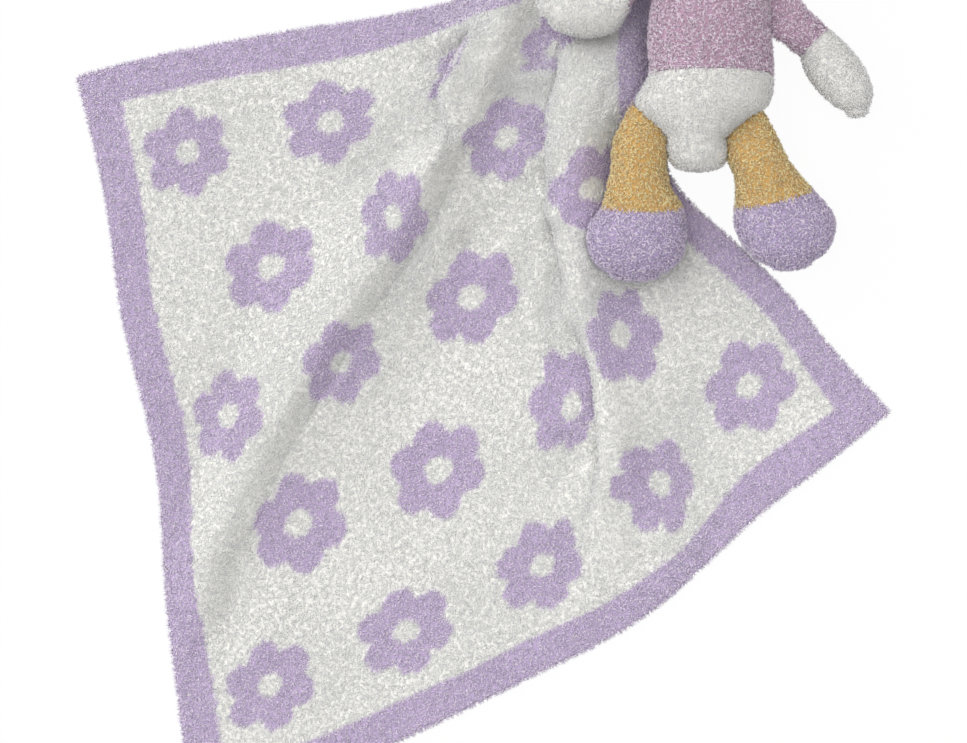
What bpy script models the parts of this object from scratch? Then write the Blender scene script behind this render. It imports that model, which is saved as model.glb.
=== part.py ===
"""Comfort blanket lovey: a plush toy on its back, one hand stitched to a gathered knitted blanket.

Lengths are metres and +Z is up. The blanket is spread on the floor, the toy lies at its gathered
side, head towards +Y. Outlines are traced in picture pixels, seen from straight above, and the
blanket's width and length and the toy's length turn them into metres.
"""

import math

import bmesh
import bpy
import numpy as np
from mathutils import Matrix, Vector

# Driving sizes
BLANKET_WIDTH = 0.610
BLANKET_LENGTH = 0.5835
TOY_LENGTH = 0.366
BLANKET_THICKNESS = 0.005
COVER_THICKNESS = 0.001
GAP = 0.0003
STUFFING_INSET = 0.0028
FLOOR_FLAT_DEPTH = 0.0005
SEAM_HALF_DEPTH = 0.004
TACK_RADIUS = 0.0022
EAR_THICKNESS = 0.015
EYE_RADIUS = 0.005
PATCH_HALF_DEPTH = 0.003
NOSE_WIDTH = 0.014
CUTTER_OVERRUN = 0.05

# How many facets the round forms have
LIMB_SIDES = 16
PATCH_SIDES = 12
BODY_SIDES = 20
CLOTH_CELLS = 24
REST_SIDES = 48

# How many of a form's rings belong to its first cover, above the change of colour
SWEATER_RING_COUNT = 6
FREE_SLEEVE_RING_COUNT = 4
HOLDING_SLEEVE_RING_COUNT = 3
LEG_RING_COUNT = 5

# Picture pixels: the blanket laid flat, the toy from crown to toe, and the point under the hand
BLANKET_WIDTH_PX = 784
BLANKET_LENGTH_PX = 750
TOY_LENGTH_PX = 470
HAND_PX = (592, 6)

BLANKET_SCALE = BLANKET_WIDTH / BLANKET_WIDTH_PX
BLANKET_SCALE_UP = BLANKET_LENGTH / BLANKET_LENGTH_PX
TOY_SCALE = TOY_LENGTH / TOY_LENGTH_PX

# Where points of the flat cloth lie in the picture: along and up the cloth, then the place seen
CLOTH_PLACES_PX = (
    (0, 0, 196, 834), (92, 0, 283, 794), (242, 0, 424, 728), (392, 0, 565, 659),
    (542, 0, 694, 573), (692, 0, 812, 473), (784, 0, 888, 412),
    (0, 103, 183, 729), (92, 103, 268, 687), (242, 103, 406, 631), (392, 103, 543, 565),
    (542, 103, 652, 480), (692, 103, 751, 386), (784, 103, 821, 338),
    (0, 239, 167, 591), (167, 239, 300, 524), (317, 239, 438, 470), (467, 239, 572, 404),
    (617, 239, 626, 332), (784, 239, 729, 239),
    (0, 375, 155, 452), (92, 375, 233, 418), (242, 375, 341, 358), (392, 375, 472, 297),
    (542, 375, 552, 232), (692, 375, 600, 178), (784, 375, 656, 137),
    (0, 511, 123, 317), (167, 511, 270, 267), (317, 511, 390, 215), (467, 511, 506, 137),
    (617, 511, 578, 92), (784, 511, 648, 48),
    (0, 647, 103, 180), (92, 647, 187, 151), (242, 647, 329, 120), (392, 647, 447, 72),
    (542, 647, 548, 42), (692, 647, 602, -20), (784, 647, 632, -52),
    (0, 750, 78, 78), (92, 750, 166, 55), (242, 750, 315, 28), (392, 750, 450, 0),
    (542, 750, 545, -48), (692, 750, 575, -118), (784, 750, 590, -172),
)

# Each fold: crest points in the picture, with the crest's height and its reach to either side
LONG_FOLD_PX = (
    (548, -35, 10, 40, 40), (526, -5, 22, 44, 50), (500, 28, 33, 40, 56),
    (476, 64, 37, 20, 60), (454, 112, 38, 16, 70), (432, 160, 40, 22, 84),
    (418, 188, 44, 50, 96), (406, 213, 46, 88, 105), (346, 296, 45, 84, 120),
    (296, 381, 42, 76, 125), (255, 450, 37, 62, 115), (230, 509, 31, 50, 100),
    (203, 556, 24, 38, 80), (197, 600, 16, 30, 60), (197, 640, 3, 26, 40),
)
MIDDLE_FOLD_PX = (
    (600, 6, 14, 36, 40), (572, 58, 29, 20, 56), (562, 104, 34, 16, 62),
    (562, 147, 34, 16, 60), (562, 200, 33, 18, 48), (564, 237, 32, 18, 42),
    (572, 286, 31, 16, 42), (603, 348, 28, 12, 40), (606, 431, 25, 12, 38),
    (608, 513, 14, 20, 36), (610, 571, 6, 26, 36), (612, 612, 1, 26, 36),
)

# The long fold drops steeply behind its crest by a share of its height, over a short reach
DROP_SHARE = 0.48
DROP_REACH_PX = 29

# What presses the cloth down: middle and reach in the picture, and how high the cloth may stand
PRESSES_PX = (
    (594, 6, 62, 44, 14),
    (635, 236, 56, 50, 2),
    (646, 172, 34, 46, 4),
    (700, -60, 90, 260, 2),
    (652, -30, 40, 50, 8),
)

# Toy outlines: pairs of edge points with the half depth, from one end to the other
TORSO_PX = (
    (683, -38, 735, -38, 24), (671, -30, 747, -30, 32), (658, -15, 760, -15, 42),
    (650, 5, 769, 5, 48), (646, 40, 771, 40, 51), (647, 76, 773, 76, 52),
    (634, 103, 769, 103, 50), (647, 120, 746, 120, 43), (666, 136, 724, 138, 35),
    (669, 152, 725, 152, 27), (675, 164, 719, 164, 16),
)
TORSO_END_PX = (697, 171)
HEAD_PX = (
    (683, -38.5, 735, -38.5, 24), (667, -50, 747, -50, 36), (647, -64, 767, -64, 51),
    (634, -87, 780, -87, 61), (630, -113, 784, -113, 64), (636, -140, 778, -140, 59),
    (653, -165, 761, -165, 45), (677, -183, 737, -183, 26),
)
HEAD_END_PX = (707, -190)
FREE_ARM_PX = (
    (771, -14, 771, 38, 0), (792, -4, 785, 47, 15), (810, 13, 791, 53, 20),
    (827, 28, 799, 58, 21), (848, 47, 803, 71, 25), (864, 68, 813, 87, 27),
    (872, 89, 828, 102, 25), (869, 106, 843, 111, 16),
)
FREE_ARM_END_PX = (858, 117)
HOLDING_ARM_PX = (
    (674, -42, 649, -2, 0), (654, -44, 632, 3, 15), (638, -37, 625, 17, 21),
    (619, -30, 614, 33, 25), (596, -26, 595, 39, 28), (572, -22, 574, 38, 27),
    (554, -14, 556, 32, 22), (545, -4, 547, 20, 13),
)
HOLDING_ARM_END_PX = (541, 8)
OVER_LEG_PX = (
    (629, 106, 665, 135, 0), (612, 142, 663, 152, 18), (609, 168, 664, 171, 25),
    (605, 190, 671, 190, 28), (600, 208, 683, 208, 31), (588, 225, 686, 225, 35),
    (586, 242, 686, 242, 36), (592, 260, 680, 260, 32), (608, 273, 662, 273, 21),
)
OVER_LEG_END_PX = (635, 280)
FREE_LEG_PX = (
    (726, 137, 763, 110, 0), (735, 156, 776, 137, 18), (737, 176, 787, 160, 25),
    (735, 192, 799, 176, 28), (733, 208, 813, 190, 31), (733, 226, 832, 213, 35),
    (740, 243, 835, 229, 36), (752, 257, 828, 248, 32), (768, 265, 812, 260, 21),
)
FREE_LEG_END_PX = (791, 269)
EAR_MIDDLES_PX = ((647, -170), (767, -170))
EAR_RADIUS_PX = 27
EYE_MIDDLES_PX = ((684, -110), (730, -110))
NOSE_MIDDLE_PX = (707, -86)
TACK_PX = (557, 9)
HINGE_AT_TACK_PX = (545, 8)

# Shares: how far round the rounded seam end each of its rings stands, as quarter turns; how high
# up the neck its axis lies; how far the stuffing stops short of its form's ends; how much thicker
# a cover is at a form's tip; how wide the parting between two covers is, of the usual gap; how
# tall the nose is, of its width
SEAM_RING_SHARES = (0.66, 0.36)
NECK_AXIS_SHARE = 0.95
END_INSET_SHARE = 0.35
END_COVER_SHARE = 1.3
PARTING_SHARE = 1.3
NOSE_HEIGHT_SHARE = 0.67

COLOURS = {
    "cream": (0.86, 0.84, 0.79),
    "lavender": (0.47, 0.36, 0.66),
    "pink": (0.66, 0.40, 0.52),
    "golden": (0.83, 0.57, 0.23),
    "thread": (0.20, 0.15, 0.14),
    "fill": (0.92, 0.92, 0.90),
}


def clear_scene():
    for thing in list(bpy.data.objects):
        bpy.data.objects.remove(thing, do_unlink=True)


def new_collection(name):
    made = bpy.data.collections.new(name)
    bpy.context.scene.collection.children.link(made)
    return made


def fabric(name):
    """A matt material of one colour, made once."""
    material = bpy.data.materials.get(name) or bpy.data.materials.new(name)
    material.use_nodes = True
    shader = material.node_tree.nodes["Principled BSDF"]
    shader.inputs["Base Color"].default_value = (*COLOURS[name], 1.0)
    shader.inputs["Roughness"].default_value = 0.95
    shader.inputs["Metallic"].default_value = 0.0
    return material


def cloth_spot(x, y):
    """A place in the picture as X and Y on the floor, with the hand's point at zero."""
    return np.array([(x - HAND_PX[0]) * BLANKET_SCALE, (HAND_PX[1] - y) * BLANKET_SCALE_UP])


def toy_spot(x, y):
    """The same for a place on the toy, which follows the toy's own scale."""
    return np.array([(x - HAND_PX[0]) * TOY_SCALE, (HAND_PX[1] - y) * TOY_SCALE])


def thin_plate(places):
    """A smooth map from flat cloth to floor that passes through every pair of places."""
    flat = np.array([p[:2] for p in places], float)
    seen = np.array([cloth_spot(*p[2:]) for p in places])

    def bend(a, b):
        square = ((a[:, None] - b[None]) ** 2).sum(2)
        return square * np.log(square + 1.0)

    def affine(a):
        return np.column_stack([np.ones(len(a)), a])

    top = np.column_stack([bend(flat, flat), affine(flat)])
    low = np.column_stack([affine(flat).T, np.zeros((3, 3))])
    weights = np.linalg.solve(np.vstack([top, low]), np.vstack([seen, np.zeros((3, 2))]))

    def follow(points):
        return np.column_stack([bend(points, flat), affine(points)]) @ weights

    return follow


def eased(share):
    """0 up to 0, 1 from 1 on, and a smooth step in between."""
    share = np.clip(share, 0.0, 1.0)
    return share * share * (3 - 2 * share)


def long_profile(far, left, right, on_left):
    """Share of the crest's height: a wide slope on the left, a drop and a long slope on the right."""
    drop = np.cos(np.clip(far / (DROP_REACH_PX * BLANKET_SCALE), 0.0, 1.0) * math.pi / 2)
    behind = DROP_SHARE * drop + (1 - DROP_SHARE) * (1 - eased(far / right))
    return np.where(on_left, 1 - eased(far / left), behind)


def middle_profile(far, left, right, on_left):
    """Share of the crest's height: a rounded top that is steepest at either foot."""
    return 1 - np.clip(far / np.where(on_left, left, right), 0.0, 1.0) ** 2


def fold_height(spots, crest, profile):
    """Height of one fold over spots: its crest's height times the profile's share of it."""
    points = np.array([cloth_spot(*c[:2]) for c in crest])
    sizes = np.array([c[2:] for c in crest]) * BLANKET_SCALE
    best = np.full(len(spots), np.inf)
    height = np.zeros(len(spots))
    for a, b, size_a, size_b in zip(points[:-1], points[1:], sizes[:-1], sizes[1:]):
        run = b - a
        along = np.clip(((spots - a) @ run) / (run @ run), 0.0, 1.0)
        off = spots - (a + along[:, None] * run)
        far = np.hypot(off[:, 0], off[:, 1])
        crest_height, left, right = (size_a + along[:, None] * (size_b - size_a)).T
        on_left = run[0] * off[:, 1] - run[1] * off[:, 0] < 0
        nearer = far < best
        best[nearer] = far[nearer]
        height[nearer] = (crest_height * profile(far, left, right, on_left))[nearer]
    return height


def pressed(spots, height):
    """The cloth is flattened where the toy lies on it, and rises again around each place."""
    for x, y, wide, tall, limit in PRESSES_PX:
        middle = cloth_spot(x, y)
        reach = np.array([wide, tall]) * BLANKET_SCALE
        away = np.hypot(*((spots - middle) / reach).T)
        allowed = limit * BLANKET_SCALE + np.clip(away - 1.0, 0.0, None) * reach.min()
        height = np.minimum(height, allowed)
    return height


def cloth_grid():
    """Points of the underside of the blanket, row by row up the cloth."""
    along = np.linspace(0, BLANKET_WIDTH_PX, CLOTH_CELLS + 1)
    up = np.linspace(0, BLANKET_LENGTH_PX, CLOTH_CELLS + 1)
    flat = np.array([(a, b) for b in up for a in along])
    spots = thin_plate(CLOTH_PLACES_PX)(flat)
    height = np.maximum(fold_height(spots, LONG_FOLD_PX, long_profile),
                        fold_height(spots, MIDDLE_FOLD_PX, middle_profile))
    height = pressed(spots, height) - FLOOR_FLAT_DEPTH
    return np.column_stack([spots, height])


def mesh_object(name, verts, faces, colour, collection):
    mesh = bpy.data.meshes.new(name)
    mesh.from_pydata([tuple(map(float, v)) for v in verts], [], faces)
    if colour:
        mesh.materials.append(fabric(colour))
    made = bpy.data.objects.new(name, mesh)
    collection.objects.link(made)
    return made


def cut(thing, cutter):
    knife = thing.modifiers.new("cut by " + cutter.name, "BOOLEAN")
    knife.operation = "DIFFERENCE"
    knife.object = cutter


def make_cutter(thing):
    thing.hide_render = True
    thing.display_type = "WIRE"
    return thing


def section(edges, half_depth, middle_z, sides, inset=0.0):
    """An upright ellipse through a pair of edge points, or one that lies inside it by inset."""
    middle, half = (edges[0] + edges[1]) / 2, (edges[1] - edges[0]) / 2
    half = half * (1 - inset / np.linalg.norm(half))
    turns = np.arange(sides) * 2 * math.pi / sides
    flat = middle + np.cos(turns)[:, None] * half
    return np.column_stack([flat, middle_z + np.sin(turns) * (half_depth - inset)])


def outline(table):
    """The pairs of edge points of a body or head, or of a limb past its seam."""
    return [(toy_spot(*row[:2]), toy_spot(*row[2:4])) for row in table]


def seam_back(edges, following):
    """The direction, square to a seam, that points from the limb to the torso."""
    across = (edges[1] - edges[0]) / np.linalg.norm(edges[1] - edges[0])
    ahead = sum(following) / 2 - sum(edges) / 2
    back = (ahead @ across) * across - ahead
    return back / np.linalg.norm(back)


def limb_outline(table):
    """The same for a limb, with its seam lifted off the torso by its rounded end and the gap."""
    edges = outline(table)
    off = math.sin(SEAM_RING_SHARES[0] * math.pi / 2) * SEAM_HALF_DEPTH + GAP
    shift = -seam_back(edges[0], edges[1]) * off
    edges[0] = (edges[0][0] + shift, edges[0][1] + shift)
    return edges


def seam_sections(edges, middle_z, sides):
    """Rings that close a limb at its sewn end: a thin rounded edge along the seam."""
    back = seam_back(edges[0], edges[1])
    rings = []
    for share in SEAM_RING_SHARES:
        angle = share * math.pi / 2
        ring = section(edges[0], math.cos(angle) * SEAM_HALF_DEPTH, middle_z, sides)
        ring[:, :2] += back * math.sin(angle) * SEAM_HALF_DEPTH
        rings.append(ring)
    return rings


def form_rings(edges, table, heights, sides, inset=0.0):
    """Every ring of a body or limb, in order; heights are the middles of the sections."""
    depths = [row[4] * TOY_SCALE or SEAM_HALF_DEPTH for row in table]
    return [section(pair, depth, height, sides, inset)
            for pair, depth, height in zip(edges, depths, heights)]


def loft(name, rings, colour, collection, start="flat", end="flat"):
    """Skin over rings. Each end is a point to close on or "flat"; "joined" makes a ring of rings."""
    sides = len(rings[0])
    verts = [v for ring in rings for v in ring]
    faces = []
    steps = len(rings) if end == "joined" else len(rings) - 1
    for i in range(steps):
        low, high = i * sides, (i + 1) % len(rings) * sides
        for j in range(sides):
            k = (j + 1) % sides
            faces.append((low + j, low + k, high + k, high + j))
    for place, closing in ((0, start), ((len(rings) - 1) * sides, end)):
        if closing == "flat":
            faces.append(tuple(place + j for j in range(sides)))
        elif closing != "joined":
            faces += [(len(verts), place + j, place + (j + 1) % sides) for j in range(sides)]
            verts.append(closing)
    made = mesh_object(name, verts, faces, colour, collection)
    form = bmesh.new()
    form.from_mesh(made.data)
    bmesh.ops.recalc_face_normals(form, faces=form.faces)
    form.to_mesh(made.data)
    form.free()
    return made


def swell(thing, distance):
    """Move every face of a closed form outwards by one distance."""
    form = bmesh.new()
    form.from_mesh(thing.data)
    form.normal_update()
    moved = [v.co + v.normal * distance * v.calc_shell_factor() for v in form.verts]
    for vert, place in zip(form.verts, moved):
        vert.co = place
    form.to_mesh(thing.data)
    form.free()


def stuff(name, rings, collection):
    """The stuffing of a form, from the first inset ring to the last, a little short of both."""
    inner = list(rings)
    inner[0] = rings[0] + (rings[1] - rings[0]) * END_INSET_SHARE
    inner[-1] = rings[-1] + (rings[-2] - rings[-1]) * END_INSET_SHARE
    return loft(name, inner, "fill", collection)


def cloth_top(blanket, spots):
    """Top of the blanket straight under each spot, and the floor where it has none."""
    cloth = blanket.evaluated_get(bpy.context.evaluated_depsgraph_get())
    heights = []
    for spot in spots:
        start = Vector((*map(float, spot), BLANKET_WIDTH))
        hit, place, _, _ = cloth.ray_cast(start, Vector((0.0, 0.0, -1.0)))
        heights.append(place.z if hit else 0.0)
    return np.array(heights)


def lowest_middle(table, blanket):
    """How high a form's middle stands where it rests on the cloth."""
    rings = np.vstack(form_rings(outline(table), table, [0.0] * len(table), REST_SIDES))
    low = rings[rings[:, 2] < 0]
    return (cloth_top(blanket, low[:, :2]) - low[:, 2]).max() + GAP


def on_floor(half_depth_px):
    """Middle height of a form that lies on the floor and is cut flat there."""
    return half_depth_px * TOY_SCALE - FLOOR_FLAT_DEPTH


def run_down(table, seam_height, end_height):
    """Middle heights along a limb, from its seam to where its thickest part rests."""
    thickest = max(range(len(table)), key=lambda i: table[i][4])
    shares = [min(i / thickest, 1.0) for i in range(len(table))]
    eased = [share * share * (3 - 2 * share) for share in shares]
    return [seam_height + (end_height - seam_height) * share for share in eased]


def moved_ring(ring, following):
    """A ring shifted by the gap towards the next one."""
    step = following - ring
    return ring + step * (GAP * PARTING_SHARE / np.linalg.norm(step, axis=1).mean())


def end_point(place, height):
    return (*toy_spot(*place), height)


def inner_end(tip, ring):
    """A form's end point, moved in by the cover's thickness along the way to the last ring."""
    way = ring.mean(0) - np.array(tip)
    return tuple(np.array(tip) + way / np.linalg.norm(way) * COVER_THICKNESS * END_COVER_SHARE)


def make_limb(names, colours, table, end_px, heights, count, collection):
    """A limb: two covers that meet where the colour changes, and the stuffing inside them."""
    edges = limb_outline(table)
    outer = form_rings(edges, table, heights, LIMB_SIDES)
    inner = form_rings(edges, table, heights, LIMB_SIDES, COVER_THICKNESS)
    seam = seam_sections(edges, heights[0], LIMB_SIDES)
    upper = seam + outer[:count] + inner[:count][::-1]
    made = [loft(names[0], upper, colours[0], collection)]
    tip = end_point(end_px, heights[-1])
    rims = [moved_ring(rings[count - 1], rings[count]) for rings in (outer, inner)]
    lower = inner[count:][::-1] + rims[::-1] + outer[count:]
    made.append(loft(names[1], lower, colours[1], collection, inner_end(tip, inner[-1]), tip))
    filling = form_rings(edges, table, heights, LIMB_SIDES, STUFFING_INSET)
    made.append(stuff(names[2], filling, collection))
    return made


def make_torso(collection):
    """The sweater, open at the neck and the hem, the lower body below it, and the stuffing."""
    height = on_floor(max(row[4] for row in TORSO_PX))
    heights = [height] * len(TORSO_PX)
    outer = form_rings(outline(TORSO_PX), TORSO_PX, heights, BODY_SIDES)
    inner = form_rings(outline(TORSO_PX), TORSO_PX, heights, BODY_SIDES, COVER_THICKNESS)
    count = SWEATER_RING_COUNT
    tube = outer[:count] + inner[:count][::-1]
    sweater = loft("sweater", tube, "pink", collection, "joined", "joined")
    end = end_point(TORSO_END_PX, height)
    rims = [moved_ring(rings[count - 1], rings[count]) for rings in (outer, inner)]
    cup = inner[count:][::-1] + rims[::-1] + outer[count:]
    lower = loft("lower_body", cup, "cream", collection, inner_end(end, inner[-1]), end)
    filling = form_rings(outline(TORSO_PX), TORSO_PX, heights, BODY_SIDES, STUFFING_INSET)
    return height, [sweater, lower, stuff("torso_stuffing", filling, collection)]


def make_head(torso_height, collection, cutters):
    """The head cover, open at the neck, its stuffing, two ears, two eyes and a nose."""
    resting = on_floor(max(row[4] for row in HEAD_PX))
    shares = [min(i / 2, 1.0) for i in range(len(HEAD_PX))]
    heights = [torso_height + (resting - torso_height) * share for share in shares]
    outer = form_rings(outline(HEAD_PX), HEAD_PX, heights, BODY_SIDES)
    inner = form_rings(outline(HEAD_PX), HEAD_PX, heights, BODY_SIDES, COVER_THICKNESS)
    end = end_point(HEAD_END_PX, resting)
    cover = loft("head_cover", inner[::-1] + outer, "cream", collection,
                 inner_end(end, inner[-1]), end)
    filling = form_rings(outline(HEAD_PX), HEAD_PX, heights, BODY_SIDES, STUFFING_INSET)
    made = [cover, stuff("head_stuffing", filling, collection)]
    knife = make_cutter(loft("head_room", outer, None, cutters, "flat", end))
    swell(knife, GAP)
    radius = EAR_RADIUS_PX * TOY_SCALE
    for side, place in zip(("left", "right"), EAR_MIDDLES_PX):
        size = (radius, radius, EAR_THICKNESS / 2)
        made.append(ball(side + "_ear", end_point(place, resting), size, "cream", collection))
    patches = [(side + "_eye", place, (EYE_RADIUS, EYE_RADIUS))
               for side, place in zip(("left", "right"), EYE_MIDDLES_PX)]
    nose_half = NOSE_WIDTH / 2
    patches.append(("nose", NOSE_MIDDLE_PX, (nose_half, nose_half * NOSE_HEIGHT_SHARE)))
    for name, place, size in patches:
        middle = end_point(place, front_height(place, HEAD_PX, heights))
        made.append(ball(name, middle, (*size, PATCH_HALF_DEPTH), "thread", collection))
    for thing in made[2:]:
        cut(thing, knife)
    return made, knife


def front_height(place, table, heights):
    """How high the front of a form stands at a place inside its outline."""
    x, y = place
    rows = sorted(zip(table, heights), key=lambda pair: pair[0][1])
    up = [row[1] for row, height in rows]
    left = np.interp(y, up, [row[0] for row, height in rows])
    right = np.interp(y, up, [row[2] for row, height in rows])
    depth = np.interp(y, up, [row[-1] for row, height in rows])
    off = (x - (left + right) / 2) / ((right - left) / 2)
    middle = np.interp(y, up, [height for row, height in rows])
    return middle + depth * TOY_SCALE * math.sqrt(1 - off * off)


def ball(name, middle, size, colour, collection):
    """A round form squeezed to three half sizes."""
    form = bmesh.new()
    bmesh.ops.create_uvsphere(form, u_segments=PATCH_SIDES, v_segments=PATCH_SIDES // 2, radius=1.0)
    bmesh.ops.scale(form, vec=Vector(size), verts=form.verts)
    bmesh.ops.translate(form, vec=Vector(tuple(map(float, middle))), verts=form.verts)
    mesh = bpy.data.meshes.new(name)
    form.to_mesh(mesh)
    form.free()
    mesh.materials.append(fabric(colour))
    made = bpy.data.objects.new(name, mesh)
    collection.objects.link(made)
    return made


def make_blanket(collection):
    """One knitted cloth: a grid laid in its folds and given its thickness upwards."""
    points = cloth_grid()
    side = CLOTH_CELLS + 1
    cells = [(r * side + c, r * side + c + 1, (r + 1) * side + c + 1, (r + 1) * side + c)
             for r in range(CLOTH_CELLS) for c in range(CLOTH_CELLS)]
    blanket = mesh_object("blanket", points, cells, "lavender", collection)
    cloth = blanket.modifiers.new("cloth", "SOLIDIFY")
    cloth.thickness = BLANKET_THICKNESS
    cloth.offset = 1
    return blanket


def make_tack(mitten, blanket, collection):
    """A shank of thread that ties the hand to the cloth under it."""
    middle = toy_spot(*TACK_PX)
    turns = np.arange(LIMB_SIDES) * 2 * math.pi / LIMB_SIDES
    spots = middle + TACK_RADIUS * np.column_stack([np.cos(turns), np.sin(turns)])
    low = cloth_top(blanket, spots).max() + GAP
    rays = [mitten.ray_cast(Vector((*spot, 0.0)), Vector((0.0, 0.0, 1.0))) for spot in spots]
    high = min(place.z for hit, place, _, _ in rays) - GAP
    form = bmesh.new()
    bmesh.ops.create_cone(form, cap_ends=True, segments=LIMB_SIDES, radius1=TACK_RADIUS,
                          radius2=TACK_RADIUS, depth=high - low)
    bmesh.ops.translate(form, vec=Vector((*middle, (high + low) / 2)), verts=form.verts)
    mesh = bpy.data.meshes.new("hand_tack")
    form.to_mesh(mesh)
    form.free()
    mesh.materials.append(fabric("thread"))
    tack = bpy.data.objects.new("hand_tack", mesh)
    collection.objects.link(tack)
    return tack


def make_floor_cutter(cutters):
    """Everything under the floor."""
    reach = BLANKET_WIDTH + TOY_LENGTH + CUTTER_OVERRUN
    form = bmesh.new()
    bmesh.ops.create_cube(form, size=1.0)
    bmesh.ops.scale(form, vec=Vector((reach * 2, reach * 2, CUTTER_OVERRUN)), verts=form.verts)
    bmesh.ops.translate(form, vec=Vector((0.0, 0.0, -CUTTER_OVERRUN / 2)), verts=form.verts)
    mesh = bpy.data.meshes.new("below_floor")
    form.to_mesh(mesh)
    form.free()
    knife = bpy.data.objects.new("below_floor", mesh)
    cutters.objects.link(knife)
    return make_cutter(knife)


def joint(name, place, parent, collection):
    """An empty on a joint's axis; place is where it stands with the hand's point at zero."""
    empty = bpy.data.objects.new(name, None)
    collection.objects.link(empty)
    empty["place"] = tuple(map(float, place))
    empty.parent = parent
    inside = Vector(parent["place"]) if parent else Vector((0.0, 0.0, 0.0))
    empty.location = Vector(place) - inside
    return empty


def hang(things, empty):
    """Put objects under a joint's empty and leave them where they are."""
    back = Matrix.Translation(-Vector(empty["place"]))
    for thing in things:
        thing.data.transform(back)
        thing.parent = empty


def bounds_of(things):
    depsgraph = bpy.context.evaluated_depsgraph_get()
    corners = []
    for thing in things:
        seen = thing.evaluated_get(depsgraph)
        corners += [seen.matrix_world @ Vector(corner) for corner in seen.bound_box]
    corners = np.array(corners)
    return corners.min(0), corners.max(0)


def build():
    clear_scene()
    parts = new_collection("comfort_blanket_lovey")
    cutters = new_collection("cutters")
    floor = make_floor_cutter(cutters)

    blanket = make_blanket(parts)
    torso_height, torso = make_torso(parts)
    head, head_room = make_head(torso_height, parts, cutters)

    foot_height = lowest_middle(OVER_LEG_PX[LEG_RING_COUNT - 1:], blanket)
    hand_height = lowest_middle(HOLDING_ARM_PX[HOLDING_SLEEVE_RING_COUNT - 1:], blanket)
    free_foot_height = on_floor(max(row[4] for row in FREE_LEG_PX))
    free_hand_height = on_floor(max(row[4] for row in FREE_ARM_PX))

    holding_arm = make_limb(("holding_sleeve", "holding_mitten", "holding_arm_stuffing"),
                            ("pink", "cream"), HOLDING_ARM_PX, HOLDING_ARM_END_PX,
                            run_down(HOLDING_ARM_PX, torso_height, hand_height),
                            HOLDING_SLEEVE_RING_COUNT, parts)
    free_arm = make_limb(("free_sleeve", "free_mitten", "free_arm_stuffing"),
                         ("pink", "cream"), FREE_ARM_PX, FREE_ARM_END_PX,
                         run_down(FREE_ARM_PX, torso_height, free_hand_height),
                         FREE_SLEEVE_RING_COUNT, parts)
    over_leg = make_limb(("over_leg", "over_foot", "over_leg_stuffing"),
                         ("golden", "lavender"), OVER_LEG_PX, OVER_LEG_END_PX,
                         run_down(OVER_LEG_PX, torso_height, foot_height),
                         LEG_RING_COUNT, parts)
    free_leg = make_limb(("free_leg", "free_foot", "free_leg_stuffing"),
                         ("golden", "lavender"), FREE_LEG_PX, FREE_LEG_END_PX,
                         run_down(FREE_LEG_PX, torso_height, free_foot_height),
                         LEG_RING_COUNT, parts)
    tack = make_tack(holding_arm[1], blanket, parts)
    for thing in (blanket, torso[0], torso[1], head[0], free_arm[1], free_leg[1]):
        cut(thing, floor)

    neck_up = TORSO_PX[0][4] * TOY_SCALE * NECK_AXIS_SHARE
    tack_spot = toy_spot(*HINGE_AT_TACK_PX)
    arm_seam = limb_outline(FREE_ARM_PX)[0]
    over_seam = limb_outline(OVER_LEG_PX)[0]
    free_seam = limb_outline(FREE_LEG_PX)[0]
    root = joint("lovey", (0.0, 0.0, 0.0), None, parts)
    toy = joint("toy_lift", (*tack_spot, cloth_top(blanket, [tack_spot])[0]), root, parts)
    neck = joint("neck", (*toy_spot(*HEAD_END_PX)[:1], toy_spot(*TORSO_PX[0][:2])[1],
                          torso_height + neck_up), toy, parts)
    shoulder = joint("free_shoulder", (*sum(arm_seam) / 2, torso_height), toy, parts)
    over_hip = joint("over_hip", (*over_seam[1], torso_height), toy, parts)
    free_hip = joint("free_hip", (*free_seam[0], torso_height), toy, parts)
    hang([blanket, tack, floor], root)
    hang(torso + holding_arm, toy)
    hang(head + [head_room], neck)
    hang(free_arm, shoulder)
    hang(over_leg, over_hip)
    hang(free_leg, free_hip)

    low, high = bounds_of([t for t in parts.objects if t.type == "MESH"])
    root.location = (-(low[0] + high[0]) / 2, -(low[1] + high[1]) / 2, -low[2])


build()
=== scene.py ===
import bpy
import numpy as np
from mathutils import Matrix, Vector


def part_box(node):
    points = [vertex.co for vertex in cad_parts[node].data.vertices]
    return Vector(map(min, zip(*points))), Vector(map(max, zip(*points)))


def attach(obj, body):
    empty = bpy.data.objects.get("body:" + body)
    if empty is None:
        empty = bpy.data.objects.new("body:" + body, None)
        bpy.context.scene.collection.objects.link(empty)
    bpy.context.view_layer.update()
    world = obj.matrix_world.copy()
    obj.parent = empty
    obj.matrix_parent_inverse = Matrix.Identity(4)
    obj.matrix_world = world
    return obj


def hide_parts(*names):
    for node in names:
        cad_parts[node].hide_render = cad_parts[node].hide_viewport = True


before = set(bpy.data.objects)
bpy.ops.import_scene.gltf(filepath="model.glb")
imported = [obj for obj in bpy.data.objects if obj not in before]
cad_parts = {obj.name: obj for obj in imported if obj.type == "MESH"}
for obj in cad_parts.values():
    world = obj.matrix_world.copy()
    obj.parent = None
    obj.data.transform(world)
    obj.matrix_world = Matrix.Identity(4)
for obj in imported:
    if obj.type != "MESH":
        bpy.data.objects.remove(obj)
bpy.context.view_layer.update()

# The view: straight down on the blanket, as for a flat picture of it laid out on a table. The
# camera stands high with a long lens, so that the tall folds hardly spread.
CAMERA_HEIGHT = 8.0
VIEW_MIDDLE = (0.0004, -0.0413)
VIEW_WIDTH = 0.7524
SENSOR_WIDTH = 36.0
CLOTH_LEVEL = 0.006
eye = bpy.data.cameras.new("overhead")
eye.sensor_width = SENSOR_WIDTH
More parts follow.
